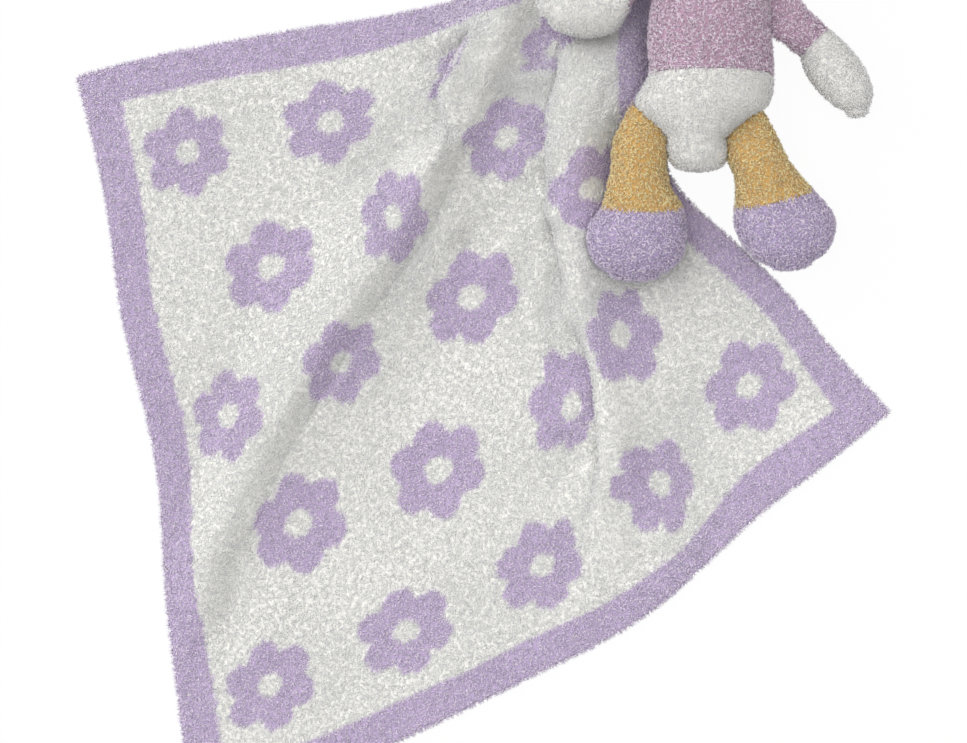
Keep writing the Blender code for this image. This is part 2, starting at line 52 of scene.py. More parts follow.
eye.lens = SENSOR_WIDTH * (CAMERA_HEIGHT - CLOTH_LEVEL) / VIEW_WIDTH
overhead = bpy.data.objects.new("overhead", eye)
overhead.location = (*VIEW_MIDDLE, CAMERA_HEIGHT)
bpy.context.scene.collection.objects.link(overhead)
bpy.context.scene.camera = overhead
bpy.context.scene.view_settings.view_transform = "Standard"


# The room: a white table under a broad soft lamp at the upper left and a soft fill from above, with
# pale light from all round. The table shows nearly white to the camera and keeps a faint shadow.
LAMPS = (("window", (0.60, -0.42, -0.68), 1.42, 1.3), ("ceiling", (0.0, -0.04, -1.0), 0.80, 0.8))
ROOM_LIGHT = 0.59
TABLE_HALF = 8.0
TABLE_LEVEL = -0.0003
TABLE_COLOUR = (0.86, 0.86, 0.86, 1.0)
TABLE_WHITE_SHARE = 0.95
WHITE = (1.0, 1.0, 1.0, 1.0)

for name, way, power, spread in LAMPS:
    lamp = bpy.data.lights.new(name, "SUN")
    lamp.energy = power
    lamp.angle = spread
    stand = bpy.data.objects.new(name, lamp)
    stand.rotation_mode = "QUATERNION"
    stand.rotation_quaternion = Vector(way).to_track_quat("-Z", "Y")
    bpy.context.scene.collection.objects.link(stand)


def shader_node(tree, kind, values=None, **settings):
    """A new shader node of a kind, with its settings and then the values of its inputs."""
    node = tree.nodes.new(kind)
    for name, value in settings.items():
        setattr(node, name, value)
    for name, value in (values or {}).items():
        node.inputs[name].default_value = value
    return node


def seen_directly(tree):
    """1 for rays that come straight from the camera, or by gloss or through glass, else 0."""
    path = shader_node(tree, "ShaderNodeLightPath")
    total = path.outputs["Is Camera Ray"]
    for name in ("Is Glossy Ray", "Is Transmission Ray"):
        larger = shader_node(tree, "ShaderNodeMath", operation="MAXIMUM")
        tree.links.new(total, larger.inputs[0])
        tree.links.new(path.outputs[name], larger.inputs[1])
        total = larger.outputs[0]
    return total


room = bpy.data.worlds.new("room")
room.use_nodes = True
bpy.context.scene.world = room
tree = room.node_tree
light = tree.nodes["Background"]
light.inputs["Color"].default_value = WHITE
light.inputs["Strength"].default_value = ROOM_LIGHT
backdrop = shader_node(tree, "ShaderNodeBackground", {"Color": WHITE})
either = shader_node(tree, "ShaderNodeMixShader")
tree.links.new(seen_directly(tree), either.inputs[0])
tree.links.new(light.outputs[0], either.inputs[1])
tree.links.new(backdrop.outputs[0], either.inputs[2])
tree.links.new(either.outputs[0], tree.nodes["World Output"].inputs["Surface"])

plane = bpy.data.meshes.new("table")
plane.from_pydata([(x * TABLE_HALF, y * TABLE_HALF, TABLE_LEVEL)
                   for x, y in ((-1, -1), (1, -1), (1, 1), (-1, 1))], [], [(0, 1, 2, 3)])
table = bpy.data.objects.new("table", plane)
bpy.context.scene.collection.objects.link(table)
white = bpy.data.materials.new("white table")
white.use_nodes = True
tree = white.node_tree
tree.nodes.remove(tree.nodes["Principled BSDF"])
matt = shader_node(tree, "ShaderNodeBsdfDiffuse", {"Color": TABLE_COLOUR})
glow = shader_node(tree, "ShaderNodeEmission")
share = shader_node(tree, "ShaderNodeMath", {1: TABLE_WHITE_SHARE}, operation="MULTIPLY")
either = shader_node(tree, "ShaderNodeMixShader")
tree.links.new(seen_directly(tree), share.inputs[0])
tree.links.new(share.outputs[0], either.inputs[0])
tree.links.new(matt.outputs[0], either.inputs[1])
tree.links.new(glow.outputs[0], either.inputs[2])
tree.links.new(either.outputs[0], tree.nodes["Material Output"].inputs["Surface"])
plane.materials.append(white)


# The blanket: one cloth knitted from chenille yarn, off-white with lavender daisies and a lavender
# border, gathered at the toy's hand into a long fold and a middle pleat and laid out loosely.
BLANKET_WIDTH = 0.610
BLANKET_LENGTH = 0.5835
WIDTH_PX = 784
LENGTH_PX = 750
CLOTH_THICKNESS = 0.0026
CLOTH_CELLS = (214, 204)
TOP_LEAST = 0.0008
HAND_PX = (592, 6)
HAND_PLACE = (0.08481, 0.24305)
PX = BLANKET_WIDTH / WIDTH_PX
PX_UP = BLANKET_LENGTH / LENGTH_PX

# Daisies that lie nearly flat: along and up the flat cloth, where the middle lies, how far across
# and down a step along the cloth and a step up it go there, and the height
DAISIES = (
    (92, 103, 270, 686, 0.95, -0.37, -0.19, -0.90, 2), (242, 103, 406, 631, 0.99, -0.40, -0.22, -0.85, 2),
    (392, 103, 542, 565, 0.94, -0.46, -0.27, -0.85, 3), (692, 103, 749, 386, 0.90, -0.52, -0.40, -0.87, 2),
    (167, 239, 299, 523, 1.01, -0.36, -0.20, -1.02, 2), (317, 239, 438, 470, 1.00, -0.39, -0.21, -0.97, 2),
    (92, 375, 230, 416, 0.76, -0.32, -0.15, -0.92, 2), (242, 375, 341, 362, 0.81, -0.40, -0.18, -0.82, 2),
    (392, 375, 472, 297, 1.03, -0.41, -0.22, -0.93, 2), (167, 511, 271, 267, 1.00, -0.32, -0.14, -0.94, 2),
    (317, 511, 394, 217, 0.66, -0.33, -0.17, -0.90, 2), (467, 511, 507, 138, 0.92, -0.30, -0.13, -0.87, 3),
    (92, 647, 187, 152, 0.90, -0.26, -0.18, -0.90, 2), (242, 647, 330, 122, 1.00, -0.24, -0.13, -0.84, 2),
)
DAISY_PIN = 44

# Pins: along and up the flat cloth, then across, down and above the floor where they lie
FLAT_PINS = (
    (0, 0, 196, 834, 2), (92, 0, 283, 794, 2), (242, 0, 424, 728, 2), (392, 0, 565, 659, 2),
    (542, 0, 694, 573, 2), (692, 0, 812, 473, 2), (784, 0, 888, 412, 2),
    (0, 103, 183, 729, 2), (784, 103, 821, 338, 2),
    (0, 239, 167, 591, 2), (392, 239, 505, 437, 2), (467, 239, 574, 409, 3),
    (700, 239, 676, 286, 3), (784, 239, 729, 239, 2), (467, 171, 580, 462, 3),
    (0, 375, 155, 452, 2), (450, 375, 525, 270, 3),
    (784, 329, 668, 174, 2), (784, 375, 660, 133, 5), (784, 439, 652, 94, 17),
    (0, 511, 123, 317, 2), (784, 511, 650, 50, 17), (784, 579, 656, 14, 12),
    (0, 647, 103, 180, 2), (500, 640, 524, 66, 5), (784, 647, 656, -34, 4), (784, 700, 638, -80, 3),
    (0, 750, 78, 78, 2), (92, 750, 166, 55, 2), (242, 750, 315, 28, 2), (392, 750, 450, 4, 2),
    (470, 750, 498, -18, 2), (542, 750, 545, -46, 3), (784, 750, 612, -124, 2),
)

# The middle pleat at several places up the cloth: under it, back over itself, its crest, its slope
PLEAT = {
    60: ((425, 585, 588, 3), (438, 594, 582, 4), (450, 603, 577, 5), (462, 612, 571, 6),
         (478, 628, 561, 6), (502, 649, 546, 4), (528, 669, 533, 2)),
    103: ((436, 575, 540, 4), (450, 585, 533, 7), (458, 591, 528, 11), (468, 598, 523, 14),
          (486, 616, 513, 15), (512, 638, 497, 8), (542, 661, 482, 3)),
    171: ((474, 589, 462, 5), (496, 604, 454, 6), (512, 604, 451, 15), (526, 600, 447, 23),
          (548, 614, 437, 27), (580, 638, 418, 13), (617, 666, 392, 4)),
    239: ((492, 590, 387, 5), (520, 606, 380, 7), (543, 602, 374, 16), (561, 593, 366, 26),
          (583, 596, 351, 31), (617, 618, 334, 19), (655, 642, 312, 6)),
    300: ((498, 551, 322, 7), (522, 560, 313, 13), (538, 565, 309, 19), (555, 572, 305, 26),
          (578, 580, 297, 30), (622, 600, 280, 21), (680, 631, 249, 3)),
    340: ((490, 557, 270, 6), (535, 574, 262, 4), (562, 570, 260, 13), (590, 560, 258, 24),
          (610, 568, 251, 29), (652, 589, 236, 25), (700, 612, 222, 14)),
    375: ((489, 548, 234, 6), (545, 582, 219, 3), (597, 567, 215, 14), (648, 550, 208, 28),
          (666, 561, 203, 34), (698, 594, 187, 28), (750, 633, 152, 12)),
    439: ((503, 549, 184, 6), (560, 588, 168, 4), (608, 568, 164, 16), (652, 550, 160, 29),
          (674, 562, 147, 33), (716, 598, 124, 29), (746, 616, 112, 25)),
    511: ((517, 551, 117, 6), (560, 590, 107, 4), (612, 570, 114, 15), (667, 550, 116, 28),
          (682, 562, 103, 32), (718, 598, 78, 30), (746, 615, 61, 26)),
    579: ((535, 557, 78, 6), (575, 592, 74, 4), (625, 580, 78, 14), (672, 561, 72, 25),
          (690, 572, 51, 28), (726, 602, 33, 25), (748, 619, 25, 22)),
    647: ((556, 566, 50, 5), (600, 600, 40, 4), (650, 588, 22, 8), (697, 568, 11, 12),
          (713, 592, 0, 14), (735, 612, -8, 13), (750, 630, -18, 12)),
    700: ((570, 572, -8, 5), (610, 598, -12, 4), (655, 585, -20, 8), (700, 572, -28, 13),
          (722, 590, -50, 14), (740, 604, -62, 12), (750, 610, -66, 10)),
    750: ((575, 566, -56, 5), (610, 590, -60, 4), (655, 580, -66, 8), (700, 572, -74, 12),
          (722, 578, -88, 12), (740, 586, -98, 10), (750, 592, -103, 8)),
}
PLEAT_STEP = 17
PIN_SLACK = 40.0
STRIPS = 24

# The long fold where it leans over the cloth at its upper left, told in the same way
LEAN = {
    560: ((384, 436, 139, 10), (400, 442, 134, 16), (412, 445, 131, 24), (428, 454, 125, 34)),
    604: ((372, 442, 102, 6), (388, 452, 98, 8), (406, 442, 98, 20), (424, 441, 92, 34)),
    647: ((362, 448, 72, 5), (386, 466, 63, 5), (412, 458, 64, 18), (438, 457, 60, 34)),
    690: ((374, 468, 37, 5), (390, 478, 33, 6), (408, 473, 34, 16), (430, 476, 31, 30)),
}

# The long fold's crest: across and down, its height, and its reach to the left and to the right
LONG_FOLD = (
    (197, 640, 2, 26, 40), (197, 600, 15, 30, 60), (203, 556, 23, 38, 80), (230, 509, 30, 50, 100),
    (255, 450, 36, 62, 115), (296, 381, 41, 76, 125), (346, 296, 44, 84, 120),
    (407, 213, 45, 88, 100), (426, 160, 43, 76, 72), (445, 110, 40, 64, 52),
    (468, 66, 36, 54, 42), (492, 30, 31, 46, 40), (520, -5, 22, 44, 40), (548, -35, 10, 40, 36),
)
STEEP_SHARE = 0.48
STEEP_REACH = 29

# Between which rows and from where along the cloth the fold leans over, where it ends to the right,
# and from which height on the pins alone say how high the cloth is, each with its ease
LEAN_ROWS = (540, 720, 40)
LEAN_ALONG = (372, 56)
FOLD_END = (470, 70)
PINNED_HEIGHT = (4, 30)

# The waves of limp cloth: how high, how far apart, their seed and their shift; and its loft
WAVES = ((1.6, 46, 3, 0), (0.8, 21, 4, 400))
LOFT = 0.9

# What presses the cloth down: middle and reach, and how high the cloth may stand there
PRESSES = (
    (594, 2, 58, 36, 13), (646, 172, 34, 46, 4), (706, -60, 62, 260, 3), (652, -30, 40, 50, 8),
)
PRESS_CORNER = 0.35
FLOOR_CORNER = 1.2

# The round foot on the cloth: its middle and reach, the room under it, and how high its side is
FOOT_BALL = (636, 240, 53, 45, 2.4, 36)

# Where the thread pulls the cloth up to the hand: the place, and how far and how high it goes
TACK_PEAK = (545, 8, 9, 9)

# Small creases: two ends, how deep and how wide. The cloth rises in a lip beside each.
CREASES = (
    (544, 178, 470, 242, 5, 13), (470, 242, 430, 300, 3, 16), (556, 278, 552, 312, 4, 10),
    (607, 86, 591, 140, 1.2, 5), (618, 500, 640, 560, 4, 14),
    (250, 560, 214, 640, 3, 16), (470, 20, 440, 60, 3, 14), (350, 330, 300, 420, 3, 9),
)
LIP_SHARE = 0.5
LIP_OFF = 2.2


def smooth(share):
    """0 up to 0 and 1 from 1 on, and in between three times the square less twice the cube."""
    share = np.clip(share, 0.0, 1.0)
    return share * share * (3 - 2 * share)


def ripple(a, b, cell, seed, size=96):
    """Random heights from -1 to 1 at the corners of square cells, eased smoothly in between."""
    draws = np.random.default_rng(seed).uniform(-1.0, 1.0, (size, size))
    col, row = np.floor(a / cell).astype(int), np.floor(b / cell).astype(int)
    across, down = smooth(a / cell - col), smooth(b / cell - row)
    near, far = draws[row % size, col % size], draws[row % size, (col + 1) % size]
    below, beyond = draws[(row + 1) % size, col % size], draws[(row + 1) % size, (col + 1) % size]
    return (near + (far - near) * across) * (1 - down) + (below + (beyond - below) * across) * down


def ridge(x, y, crest):
    """Height of a fold: its crest's height times an eased share of the way off to either side.

    To the left it eases once, over the left reach. To the right a part drops at once, as a
    quarter of a cosine that ends in a sharp foot, and the rest eases out over the right reach.
    """
    spots = np.column_stack([x, y])
    nearest = np.full(len(spots), np.inf)
    height = np.zeros(len(spots))
    crest = np.array(crest, float)
    for a, b in zip(crest[:-1], crest[1:]):
        run = b[:2] - a[:2]
        along = np.clip(((spots - a[:2]) @ run) / (run @ run), 0.0, 1.0)
        off = spots - (a[:2] + along[:, None] * run)
        far = np.hypot(*off.T)
        top, left, right = (a[2:] + along[:, None] * (b[2:] - a[2:])).T
        on_left = run[0] * off[:, 1] - run[1] * off[:, 0] < 0
        drop = np.cos(np.clip(far / STEEP_REACH, 0, 1) * np.pi / 2)
        falls = STEEP_SHARE * drop + (1 - STEEP_SHARE) * (1 - smooth(far / right))
        here = top * np.where(on_left, 1 - smooth(far / left), falls)
        nearer = far < nearest
        nearest[nearer] = far[nearer]
        height[nearer] = here[nearer]
    return height


def pressed(height, limit):
    """The lesser of a height and its limit, rounded where they meet by the log of a sum of powers."""
    return -np.logaddexp(-PRESS_CORNER * height, -PRESS_CORNER * limit) / PRESS_CORNER


def round_daisies():
    """Pins in the middle of each daisy that lies flat, and a step off it to all four sides."""
    pins = []
    for u, v, x, y, across, down, over, under, z in DAISIES:
        for along, up in ((0, 0), (DAISY_PIN, 0), (-DAISY_PIN, 0), (0, DAISY_PIN), (0, -DAISY_PIN)):
            pins.append((u + along, v + up, x + across * along + over * up,
                         y + down * along + under * up, z))
    return pins


def guide(rows):
    """Pins along a fold: every station of it goes straight from one row to the next."""
    ups = np.array(sorted(rows), float)
    table = np.array([rows[int(up)] for up in ups], float)
    pins = []
    for up in np.arange(ups[0], ups[-1] + 1, PLEAT_STEP):
        for station in range(table.shape[1]):
            along, x, y, z = (np.interp(up, ups, table[:, station, k]) for k in range(4))
            pins.append((along, up, x, y, z))
    return pins


def thin_plate(pins):
    """Flat cloth to its place: a plane plus a weight per pin times the squared distance times its
    log, so that the cloth nearly meets every pin and bends as little as it can in between."""
    pins = np.array(pins, float)
    flat = pins[:, :2]

    def bend(a, b):
        """The squared distance from each of one to each of the other, times its log."""
        square = ((a[:, None] - b[None]) ** 2).sum(2)
        return square * np.log(square + 1.0)

    def plane_terms(a):
        """One, and how far along and up, for the plane."""
        return np.column_stack([np.ones(len(a)), a])

    left = np.column_stack([bend(flat, flat) + PIN_SLACK * np.eye(len(flat)), plane_terms(flat)])
    low = np.column_stack([plane_terms(flat).T, np.zeros((3, 3))])
    weights = np.linalg.solve(np.vstack([left, low]), np.vstack([pins[:, 2:], np.zeros((3, 3))]))

    def follow(points):
        """Where points of the flat cloth lie, worked out a strip at a time."""
        return np.vstack([np.column_stack([bend(strip, flat), plane_terms(strip)]) @ weights
                          for strip in np.array_split(points, STRIPS)])

    return follow


def laid_cloth(cells):
    """The middle of the cloth on a grid, in metres: pins, folds, waves, creases and presses."""
    across, up = cells
    along, upward = np.meshgrid(np.linspace(0, WIDTH_PX, across + 1),
                                np.linspace(0, LENGTH_PX, up + 1))
    flat = np.column_stack([along.ravel(), upward.ravel()])
    x, y, z = thin_plate(list(FLAT_PINS) + round_daisies() + guide(PLEAT) + guide(LEAN))(flat).T
    u, v = flat.T
    fold = ridge(x, y, LONG_FOLD)
    first, last, ease = LEAN_ROWS
    leaning = smooth((v - first) / ease) * smooth((last - v) / ease)
    over = smooth((u - LEAN_ALONG[0]) / LEAN_ALONG[1])
    fold = fold * (1 - smooth((u - FOLD_END[0]) / FOLD_END[1])) * (1 - leaning * (1 - over))
    z = np.maximum(z, 0) + fold * (1 - smooth((z - PINNED_HEIGHT[0]) / PINNED_HEIGHT[1]))
    for high, apart, seed, shift in WAVES:
        z = z + high * ripple(u + shift, v, apart, seed)
    z = z + LOFT
    for ax, ay, bx, by, deep, wide in CREASES:
        run = np.array([bx - ax, by - ay], float)
        spots = np.column_stack([x - ax, y - ay])
        share = np.clip(spots @ run / (run @ run), 0.0, 1.0)
        off = np.hypot(*(spots - share[:, None] * run).T) / wide
        z = z - deep * np.exp(-off * off) + LIP_SHARE * deep * np.exp(-(off - LIP_OFF) ** 2)
    for px, py, wide, tall, limit in PRESSES:
        away = np.hypot((x - px) / wide, (y - py) / tall)
        z = pressed(z, limit + np.clip(away - 1.0, 0.0, None) * min(wide, tall))
    px, py, wide, tall, limit, side = FOOT_BALL
    away = np.minimum(np.hypot((x - px) / wide, (y - py) / tall), 1.0)
    z = np.where(away < 1, pressed(z, limit + side * (1 - np.sqrt(1 - away * away))), z)
    px, py, reach, rise = TACK_PEAK
    z = z + rise * np.exp(-((x - px) ** 2 + (y - py) ** 2) / reach ** 2)
    low = CLOTH_THICKNESS / 2 / PX
    z = low + np.logaddexp(0, (z - low) * FLOOR_CORNER) / FLOOR_CORNER
    places = np.column_stack([HAND_PLACE[0] + (x - HAND_PX[0]) * PX,
                              HAND_PLACE[1] + (HAND_PX[1] - y) * PX_UP, z * PX])
    return along, upward, places.reshape(up + 1, across + 1, 3)


def grid_normals(points):
    """The cross product of the steps along and up the grid, made one long."""
    normal = np.cross(np.gradient(points, axis=1), np.gradient(points, axis=0))
    return normal / np.maximum(np.linalg.norm(normal, axis=2, keepdims=True), 1e-12)


def make_piece(name, points, faces, colours, bake, material):
    """A mesh from arrays: faces all have as many corners, colours go by point, bake by corner."""
    mesh = bpy.data.meshes.new(name)
    count, corners = faces.shape
    mesh.vertices.add(len(points))
    mesh.vertices.foreach_set("co", points.astype(np.float32).ravel())
    mesh.loops.add(count * corners)
    mesh.loops.foreach_set("vertex_index", faces.astype(np.int32).ravel())
    mesh.polygons.add(count)
    mesh.polygons.foreach_set("loop_start", np.arange(0, count * corners, corners, dtype=np.int32))
    mesh.update(calc_edges=True)
    mesh.polygons.foreach_set("use_smooth", np.ones(count, bool))
    # The colour by point: the yarn's own colour, with painted shade at the tufts' roots and painted light
    # at their tips.
    yarn_and_painted_shading = mesh.attributes.new("yarn_and_painted_shading", "FLOAT_COLOR", "POINT")
    shades = np.column_stack([colours, np.ones(len(colours))])
    yarn_and_painted_shading.data.foreach_set("color", shades.astype(np.float32).ravel())
    layer = mesh.uv_layers.new(name="OFBake")
    layer.data.foreach_set("uv", bake.astype(np.float32).ravel())
    mesh.materials.append(material)
    mesh.validate()
    piece = bpy.data.objects.new(name, mesh)
    bpy.context.scene.collection.objects.link(piece)
    return piece


# The yarns' colours in plain light, and the knitted pattern: the border, the rows of daisies (how far
# up, how far along the first stands, how many), and the parts of one daisy
OFF_WHITE = np.array([0.935, 0.94, 0.93])
LAVENDER = np.array([0.83, 0.74, 0.93])
# Painted shade at the tufts' roots and under the pile: two powers by which a yarn's colour darkens there,
# and a warm tint for it; with them the spread of each tuft's own random tone.
ROOT_SHADE_POWER = 1.8
ROOT_SHADE_BY_LIGHTNESS = 4.5
OWN_LIGHT = (-3.6, 5.0)
ROOT_SHADE_WARMTH = np.array([1.0, 0.98, 0.95])
BORDER_ALONG = 36
BORDER_UP = 35
DAISY_ROWS = ((103, 92, 5), (239, 167, 4), (375, 92, 5), (511, 167, 4), (647, 92, 5))
DAISY_STEP = 150
PETAL_OUT = 31
PETAL_RADIUS = 17.2
HEART_RADIUS = 28
EYE_OF_DAISY = 13
EDGE_WOBBLE = 1.3
WOBBLE_CELL = 6


def lightness(colours):
    """Halfway between a colour's mean part and its largest, as a share of the off-white yarn's."""
    halfway = (colours.mean(-1, keepdims=True) + colours.max(-1, keepdims=True)) / 2
    return halfway / OFF_WHITE.mean()


def painted_root_shade(colours):
    """Painted shade for a yarn down between its tufts, where shade falls: its own colour to a power, times
    its lightness to a power, warmed a little.
    """
    return colours ** ROOT_SHADE_POWER * lightness(colours) ** ROOT_SHADE_BY_LIGHTNESS * ROOT_SHADE_WARMTH


def is_lavender(u, v):
    """Where the knitting changes to lavender: within the border's width of an edge, and in daisies.

    A daisy is six discs at a petal's distance from its middle and a disc that joins them, less the
    small off-white disc in its middle.
    """
    u, v = (u + EDGE_WOBBLE * ripple(u, v, WOBBLE_CELL, 11),
            v + EDGE_WOBBLE * ripple(u + 300, v, WOBBLE_CELL, 12))
    edge = (np.minimum(u, WIDTH_PX - u) < BORDER_ALONG) | (np.minimum(v, LENGTH_PX - v) < BORDER_UP)
    inside = np.zeros(u.shape, bool)
    for up, first, count in DAISY_ROWS:
        for k in range(count):
            a, b = u - first - k * DAISY_STEP, v - up
            far, turn = np.hypot(a, b), np.arctan2(b, a)
            petal = (turn - np.pi / 2 + np.pi / 6) % (np.pi / 3) - np.pi / 6
            tip = np.hypot(far * np.cos(petal) - PETAL_OUT, far * np.sin(petal)) < PETAL_RADIUS
            inside |= (tip | (far < HEART_RADIUS)) & (far > EYE_OF_DAISY)
    return edge | inside


SOFT_SHINE = {"Roughness": 0.92, "Sheen Weight": 0.12, "Sheen Roughness": 0.6, "Specular IOR Level": 0.15}
STRAND_CELLS = (900.0, 900.0, 260.0)
FULL_TURN = 6.283


def chenille(name, pile_scale, gap_shade):
    """Yarn colour, with its painted shade and light, from the piece's own attribute, over fine strands
    drawn as stretched noise.

    Strands lie in random directions: cells turn the coordinates by their own angle, and noise that
    is stretched along one axis gives the strands. They drive the bump, and they scale the colour:
    painted shade in the gaps between them and a little painted light on them.
    """
    material = bpy.data.materials.new(name)
    material.use_nodes = True
    tree = material.node_tree
    shader = tree.nodes["Principled BSDF"]
    for socket, value in SOFT_SHINE.items():
        shader.inputs[socket].default_value = value
    colour = shader_node(tree, "ShaderNodeAttribute", attribute_name="yarn_and_painted_shading")
    where = shader_node(tree, "ShaderNodeTexCoord")
    cells = shader_node(tree, "ShaderNodeTexVoronoi", {"Scale": pile_scale})
    turned = shader_node(tree, "ShaderNodeVectorRotate", rotation_type="EULER_XYZ")
    angle = shader_node(tree, "ShaderNodeVectorMath", {"Scale": FULL_TURN}, operation="SCALE")
    stretched = shader_node(tree, "ShaderNodeMapping", {"Scale": STRAND_CELLS})
    strands = shader_node(tree, "ShaderNodeTexNoise", {"Scale": 1.0, "Detail": 1.0})
    # Painted shade and light: the colour is scaled down in the gaps between strands, where shade falls,
    # and a little up on the strands.
    shade = shader_node(tree, "ShaderNodeMapRange", {"From Min": 0.3, "From Max": 0.7,
                                                     "To Min": 1.0 - gap_shade, "To Max": 1.0 + gap_shade * 0.4})
    gap_shaded = shader_node(tree, "ShaderNodeVectorMath", operation="SCALE")
    bump = shader_node(tree, "ShaderNodeBump", {"Strength": 0.5, "Distance": 0.0006})
    for source, target in ((where.outputs["Object"], cells.inputs["Vector"]),
                           (cells.outputs["Color"], angle.inputs[0]),
                           (where.outputs["Object"], turned.inputs["Vector"]),
                           (angle.outputs[0], turned.inputs["Rotation"]),
                           (turned.outputs[0], stretched.inputs["Vector"]),
                           (stretched.outputs[0], strands.inputs["Vector"]),
                           (strands.outputs["Fac"], shade.inputs["Value"]),
                           (colour.outputs["Color"], gap_shaded.inputs[0]),
                           (shade.outputs["Result"], gap_shaded.inputs["Scale"]),
                           (gap_shaded.outputs[0], shader.inputs["Base Color"]),
                           (strands.outputs["Fac"], bump.inputs["Height"]),
                           (bump.outputs["Normal"], shader.inputs["Normal"])):
        tree.links.new(source, target)
    return material


def cloth_faces(rows, cols):
    """Squares of the upper grid, the same of the lower one turned over, and squares along the rim."""
    at = np.arange(rows * cols).reshape(rows, cols)
    upper = np.stack([at[:-1, :-1], at[:-1, 1:], at[1:, 1:], at[1:, :-1]], -1).reshape(-1, 4)
    lower = upper[:, ::-1] + rows * cols
    rim = np.concatenate([at[0, :-1], at[:-1, -1], at[-1, :0:-1], at[:0:-1, 0]])
    ahead = np.roll(rim, -1)
    sides = np.stack([rim, rim + rows * cols, ahead + rows * cols, ahead], -1)
    return np.vstack([upper, lower, sides]), len(upper), rim


knit_pile = chenille("blanket chenille", 420.0, 0.16)
cloth_along, cloth_up, cloth_middle = laid_cloth(CLOTH_CELLS)
cloth_normal = grid_normals(cloth_middle)
cloth_top = cloth_middle + cloth_normal * CLOTH_THICKNESS / 2
cloth_under = cloth_middle - cloth_normal * CLOTH_THICKNESS / 2
cloth_top[..., 2] = np.maximum(cloth_top[..., 2], TOP_LEAST)
cloth_under[..., 2] = np.maximum(cloth_under[..., 2], 0.0)
rows, cols = cloth_along.shape
faces, upper_count, rim = cloth_faces(rows, cols)
# The cloth under the pile is painted with shade: the knitted pattern's colours as darkened down between
# the tufts.
shaded_ground = np.where(is_lavender(cloth_along, cloth_up)[..., None], LAVENDER, OFF_WHITE)
shaded_ground = painted_root_shade(shaded_ground).reshape(-1, 3)

# In the bake picture the upper face fills the left half, the lower one the right half, and the rim a
# band along the top
FACE_WIDE, FACE_TALL, FACE_APART = 0.49, 0.96, 0.5
BAND_LOW, BAND_HIGH = 0.97, 0.99
flat_place = np.column_stack([np.tile(cloth_along.ravel() / WIDTH_PX, 2) * FACE_WIDE,
                              np.tile(cloth_up.ravel() / LENGTH_PX, 2) * FACE_TALL])
corner_place = flat_place[faces]
corner_place[upper_count:2 * upper_count, :, 0] += FACE_APART
edge_run = np.linspace(0, BAND_HIGH, len(rim) + 1)
for corner, start, level in ((0, 0, BAND_LOW), (1, 0, BAND_HIGH), (2, 1, BAND_HIGH), (3, 1, BAND_LOW)):
    corner_place[2 * upper_count:, corner, 0] = edge_run[start:start + len(rim)]
    corner_place[2 * upper_count:, corner, 1] = level
blanket = make_piece("blanket_cloth", np.vstack([cloth_top.reshape(-1, 3), cloth_under.reshape(-1, 3)]),
                     faces, np.vstack([shaded_ground, shaded_ground]), corner_place, knit_pile)
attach(blanket, "blanket_body")
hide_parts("blanket")


# The blanket's pile: the cut tufts of the chenille yarn, about four millimetres long and one thick,
# widest in the middle. They lie every way on both faces and stand out past the edge.
TUFT_LENGTH = 0.0041
TUFT_RADIUS = 0.00047
TUFT_STEP = 1.9
UNDER_STEP = 3.9
MOST_TUFTS = 33000
WIDEST = 0.4
BRIGHTEST = 1.12
# Painted light: how much lighter a tuft's tip is painted than its middle.
PAINTED_TIP_LIGHT = 1.08
LARGEST = 0.98
THICKNESS_SPREAD = (0.8, 1.2)
LENGTH_SPREAD = (0.7, 1.2)
ROOT_DEPTH = 0.5
THIRDS = (0.0, 2.094, 4.189)
UNDER_THICKER = 1.3
RIM_TUFTS = 9000
RIM_INWARD = 8
RIM_SPREAD = (-0.35, 0.45)
RIM_SHORTER = 0.85
RIM_LEAN = 0.8


def from_grid(values, u, v):
    """Values of the cloth's grid at other places on the flat cloth, straight between neighbours."""
    a = np.clip(u / WIDTH_PX * (cols - 1), 0, cols - 1.001)
    b = np.clip(v / LENGTH_PX * (rows - 1), 0, rows - 1.001)
    i, j = a.astype(int), b.astype(int)
    a, b = (a - i)[:, None], (b - j)[:, None]
    low = values[j, i] * (1 - a) + values[j, i + 1] * a
    high = values[j + 1, i] * (1 - a) + values[j + 1, i + 1] * a
    return low * (1 - b) + high * b


